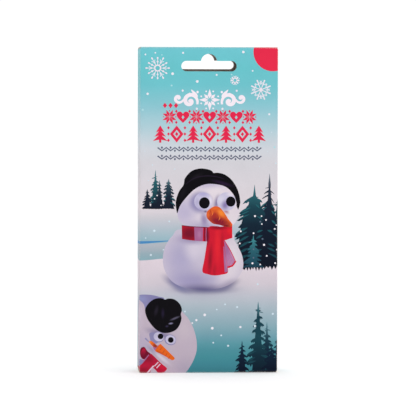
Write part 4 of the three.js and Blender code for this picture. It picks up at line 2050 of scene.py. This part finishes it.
@dataclass
class CutFibres:
    """Fine pulp fibres that stand proud along the board's cut edges, made by Geometry Nodes."""

    spacing: float = 1.5
    length: float = 0.32
    thickness: float = 0.035
    seed: int = 11

    def tree(self) -> bpy.types.NodeTree:
        """The node tree: a fibre at each step along the edges, turned outwards at random.

        Returns:
            The tree.
        """
        tree = bpy.data.node_groups.new("edge_fibres", "GeometryNodeTree")
        sockets = (
            ("Edges", "NodeSocketGeometry"),
            ("Spacing", "NodeSocketFloat"),
            ("Length", "NodeSocketFloat"),
            ("Thickness", "NodeSocketFloat"),
            ("Seed", "NodeSocketInt"),
            ("Finish", "NodeSocketMaterial"),
        )
        for name, kind in sockets:
            tree.interface.new_socket(name=name, in_out="INPUT", socket_type=kind)
        tree.interface.new_socket(name="Fibres", in_out="OUTPUT", socket_type="NodeSocketGeometry")
        bench = Bench(tree)
        given = tree.nodes.new("NodeGroupInput")
        wires = (Wire(bench, given.outputs[name]) for name, _ in sockets)
        edges, spacing, length, thickness, seed, finish = wires
        path = bench.add("GeometryNodeMeshToCurve", None, {"Mesh": edges})
        even = {"Curve": path, "Length": spacing}
        path = bench.add("GeometryNodeResampleCurve", {"mode": "LENGTH"}, even)
        cone = {"Vertices": 4, "Radius Top": 0, "Radius Bottom": thickness * 0.5, "Depth": length}
        fibre = bench.add("GeometryNodeMeshCone", {"fill_type": "NONE"}, cone)
        vector = {"data_type": "FLOAT_VECTOR"}
        outward = bench.add("GeometryNodeInputNamedAttribute", vector, {"Name": "outward"})
        spread = {0: (-1, -1, -1), 1: (1, 1, 1), "Seed": seed}
        stray = bench.add("FunctionNodeRandomValue", vector, spread)
        way = bench.add("ShaderNodeVectorMath", {"operation": "ADD"}, {0: outward, 1: stray})
        turn = bench.add("FunctionNodeAlignRotationToVector", {"axis": "Z"}, {"Vector": way})
        sizes = {2: 0.45, 3: 1.3, "Seed": seed + 1}
        size = bench.add("FunctionNodeRandomValue", {"data_type": "FLOAT"}, sizes, 1)
        sockets_in = {"Points": path, "Instance": fibre, "Rotation": turn, "Scale": size}
        placed_fibres = bench.add("GeometryNodeInstanceOnPoints", None, sockets_in)
        real = bench.add("GeometryNodeRealizeInstances", None, {"Geometry": placed_fibres})
        done = bench.add("GeometryNodeSetMaterial", None, {"Geometry": real, "Material": finish})
        leave = tree.nodes.new("NodeGroupOutput")
        tree.links.new(done.socket, leave.inputs["Fibres"])
        return tree

    def grow(
        self,
        name: str,
        sheet: Sheet,
        loops: list[Loop],
        tree: bpy.types.NodeTree,
        finish: bpy.types.Material,
    ) -> bpy.types.Object:
        """Grows fibres along some edges of a piece of board.

        Args:
            name: The new piece's name.
            sheet: The board.
            loops: The edges, on the blank, with the board on the left of each.
            tree: The node tree.
            finish: The fibres' material.

        Returns:
            The fibres, as a plain mesh.
        """
        points, edges, ways = [], [], []
        quarter_turn = np.array(((0, -1), (1, 0)))
        for loop in loops:
            flat = np.array(loop)
            beyond = flat.copy()
            beyond[:-1] += (flat[1:] - flat[:-1]) @ quarter_turn
            beyond[-1] += (flat[-1] - flat[-2]) @ quarter_turn
            here, there = sheet.folding.place(flat, BOARD * 0.5), sheet.folding.place(beyond, BOARD * 0.5)
            way = there - here
            first = len(points)
            points += [tuple(p) for p in here * MM]
            ways += [tuple(w / max(np.linalg.norm(w), 1e-9) * 0.9) for w in way]
            edges += [(first + k, first + k + 1) for k in range(len(loop) - 1)]
        mesh = bpy.data.meshes.new(name)
        mesh.from_pydata(points, edges, [])
        outward = mesh.attributes.new("outward", "FLOAT_VECTOR", "POINT")
        outward.data.foreach_set("vector", np.array(ways, np.float32).ravel())
        piece = new_object(name, mesh)
        modifier = piece.modifiers.new("fibres", "NODES")
        modifier.node_group = tree
        values = {
            "Spacing": self.spacing * MM,
            "Length": self.length * MM,
            "Thickness": self.thickness * MM,
            "Seed": self.seed,
            "Finish": finish,
        }
        for item in tree.interface.items_tree:
            if item.in_out == "INPUT" and item.name in values:
                modifier[item.identifier] = values[item.name]
        graph = bpy.context.evaluated_depsgraph_get()
        plain = bpy.data.meshes.new_from_object(piece.evaluated_get(graph))
        piece.modifiers.clear()
        piece.data = plain
        LOG.info("%s: %d faces", name, len(plain.polygons))
        return piece


# --- Studio ---


@dataclass
class Studio:
    """A pale floor, soft light from the front right, and the camera."""

    azimuth_deg: float = -4.3
    elevation_deg: float = 2
    distance: float = 1.6
    lens: float = 238.4
    target: Triple = (0.0004, 0, 0.0949)
    ambient: float = 0.4
    sun: float = 1.4
    roll_deg: float = 0.13
    floor_glow: float = 0.16

    def floor(self) -> bpy.types.Object:
        """A wide, plain, pale floor.

        Returns:
            The floor.
        """
        half = 6
        mesh = bpy.data.meshes.new("floor")
        corners = [(-half, -half, 0), (half, -half, 0), (half, half, 0), (-half, half, 0)]
        mesh.from_pydata(corners, [], [(0, 1, 2, 3)])
        material = bpy.data.materials.new("studio_floor")
        material.use_nodes = True
        bench = Bench(material.node_tree)
        sockets = {"Base Color": "#ffffff", "Roughness": 0.9, "Specular IOR Level": 0}
        sockets.update({"Emission Color": "#ffffff", "Emission Strength": self.floor_glow})
        bench.end(bench.add("ShaderNodeBsdfPrincipled", None, sockets))
        mesh.materials.append(material)
        return new_object("floor", mesh)

    def lights(self) -> None:
        """An even white surround and one large soft lamp."""
        scene = bpy.context.scene
        world = bpy.data.worlds.new("studio")
        world.use_nodes = True
        bench = Bench(world.node_tree)
        heading = bench.add("ShaderNodeTexCoord")
        behind = bench.add("ShaderNodeSeparateXYZ", None, {0: heading}, "Y")
        level = bench.add("ShaderNodeSeparateXYZ", None, {0: heading}, "Z")
        white = behind.step(-0.1, 0.7) + (level * level).step(0.004, 0.02, 1, 0)
        strength = white.step(0, 1, self.ambient, 1.05)
        background = bench.add("ShaderNodeBackground", None, {"Color": "#ffffff", "Strength": strength})
        output = world.node_tree.nodes.new("ShaderNodeOutputWorld")
        world.node_tree.links.new(background.socket, output.inputs["Surface"])
        scene.world = world
        lamp = bpy.data.lights.new("key", "SUN")
        lamp.energy = self.sun
        lamp.angle = radians(100)
        key = new_object("key", lamp)
        key.rotation_euler = Vector((0.45, -0.75, 0.95)).to_track_quat("Z", "Y").to_euler()
        scene.view_settings.view_transform = "Standard"

    def camera(self) -> None:
        """A long lens, a little left of the front and just above level."""
        a, e = radians(self.azimuth_deg), radians(self.elevation_deg)
        back = Vector((sin(a) * cos(e), -cos(a) * cos(e), sin(e)))
        data = bpy.data.cameras.new("camera")
        data.lens = self.lens
        data.sensor_width = 36
        camera = new_object("camera", data)
        camera.location = Vector(self.target) + back * self.distance
        turn = back.to_track_quat("Z", "Y") @ Quaternion((0, 0, 1), radians(self.roll_deg))
        camera.rotation_euler = turn.to_euler()
        bpy.context.scene.camera = camera


def main() -> None:
    """Builds the carton, its fibres and the studio, and hides each model part that a piece replaces."""
    logging.basicConfig(level=logging.INFO, format="%(name)s %(message)s")
    artwork = Artwork()
    artwork.compose(-118, 104)
    LOG.info("artwork: %d figures", len(artwork.figures))
    shop = PrintShop()
    walls, closures = Sleeve.of_model(), Closures.of_model()
    sleeve = walls.sheet()
    panels = ("front_panel", "back_panel", "left_side_panel", "right_side_panel", "glue_flap")
    carton_sheets = (
        (sleeve, panels),
        (closures.top_dust_flap(False), ("top_dust_flap_left",)),
        (closures.top_dust_flap(True), ("top_dust_flap_right",)),
        (closures.base_dust_flap(False), ("base_dust_flap_left",)),
        (closures.base_dust_flap(True), ("base_dust_flap_right",)),
        (closures.base_outer_flap(), ("base_outer_flap",)),
        (closures.base_inner_flap(), ("base_inner_flap",)),
    )
    for sheet, nodes in carton_sheets:
        piece = sheet.make(shop, artwork.figures)
        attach(piece, "carton")
        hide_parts(*nodes)
    lid, tab = closures.lid(), closures.tab()
    piece = lid.make(shop, artwork.figures)
    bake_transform(piece)
    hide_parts("top_lid")
    piece = tab.make(shop, artwork.figures)
    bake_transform(piece)
    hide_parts("top_tuck_tab")

    fibres = CutFibres()
    tree = fibres.tree()
    finish = shop.cut()
    edges = [slot[::-1] + [slot[-1]] for slot in sleeve.slots] + [walls.back_edge()]
    piece = fibres.grow("carton_edge_fibres", sleeve, edges, tree, finish)
    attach(piece, "carton")
    piece = fibres.grow("lid_edge_fibres", lid, closures.lid_edges(), tree, finish)
    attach(piece, "lid")

    studio = Studio()
    studio.floor()
    studio.lights()
    studio.camera()


if __name__ == "__main__":
    main()
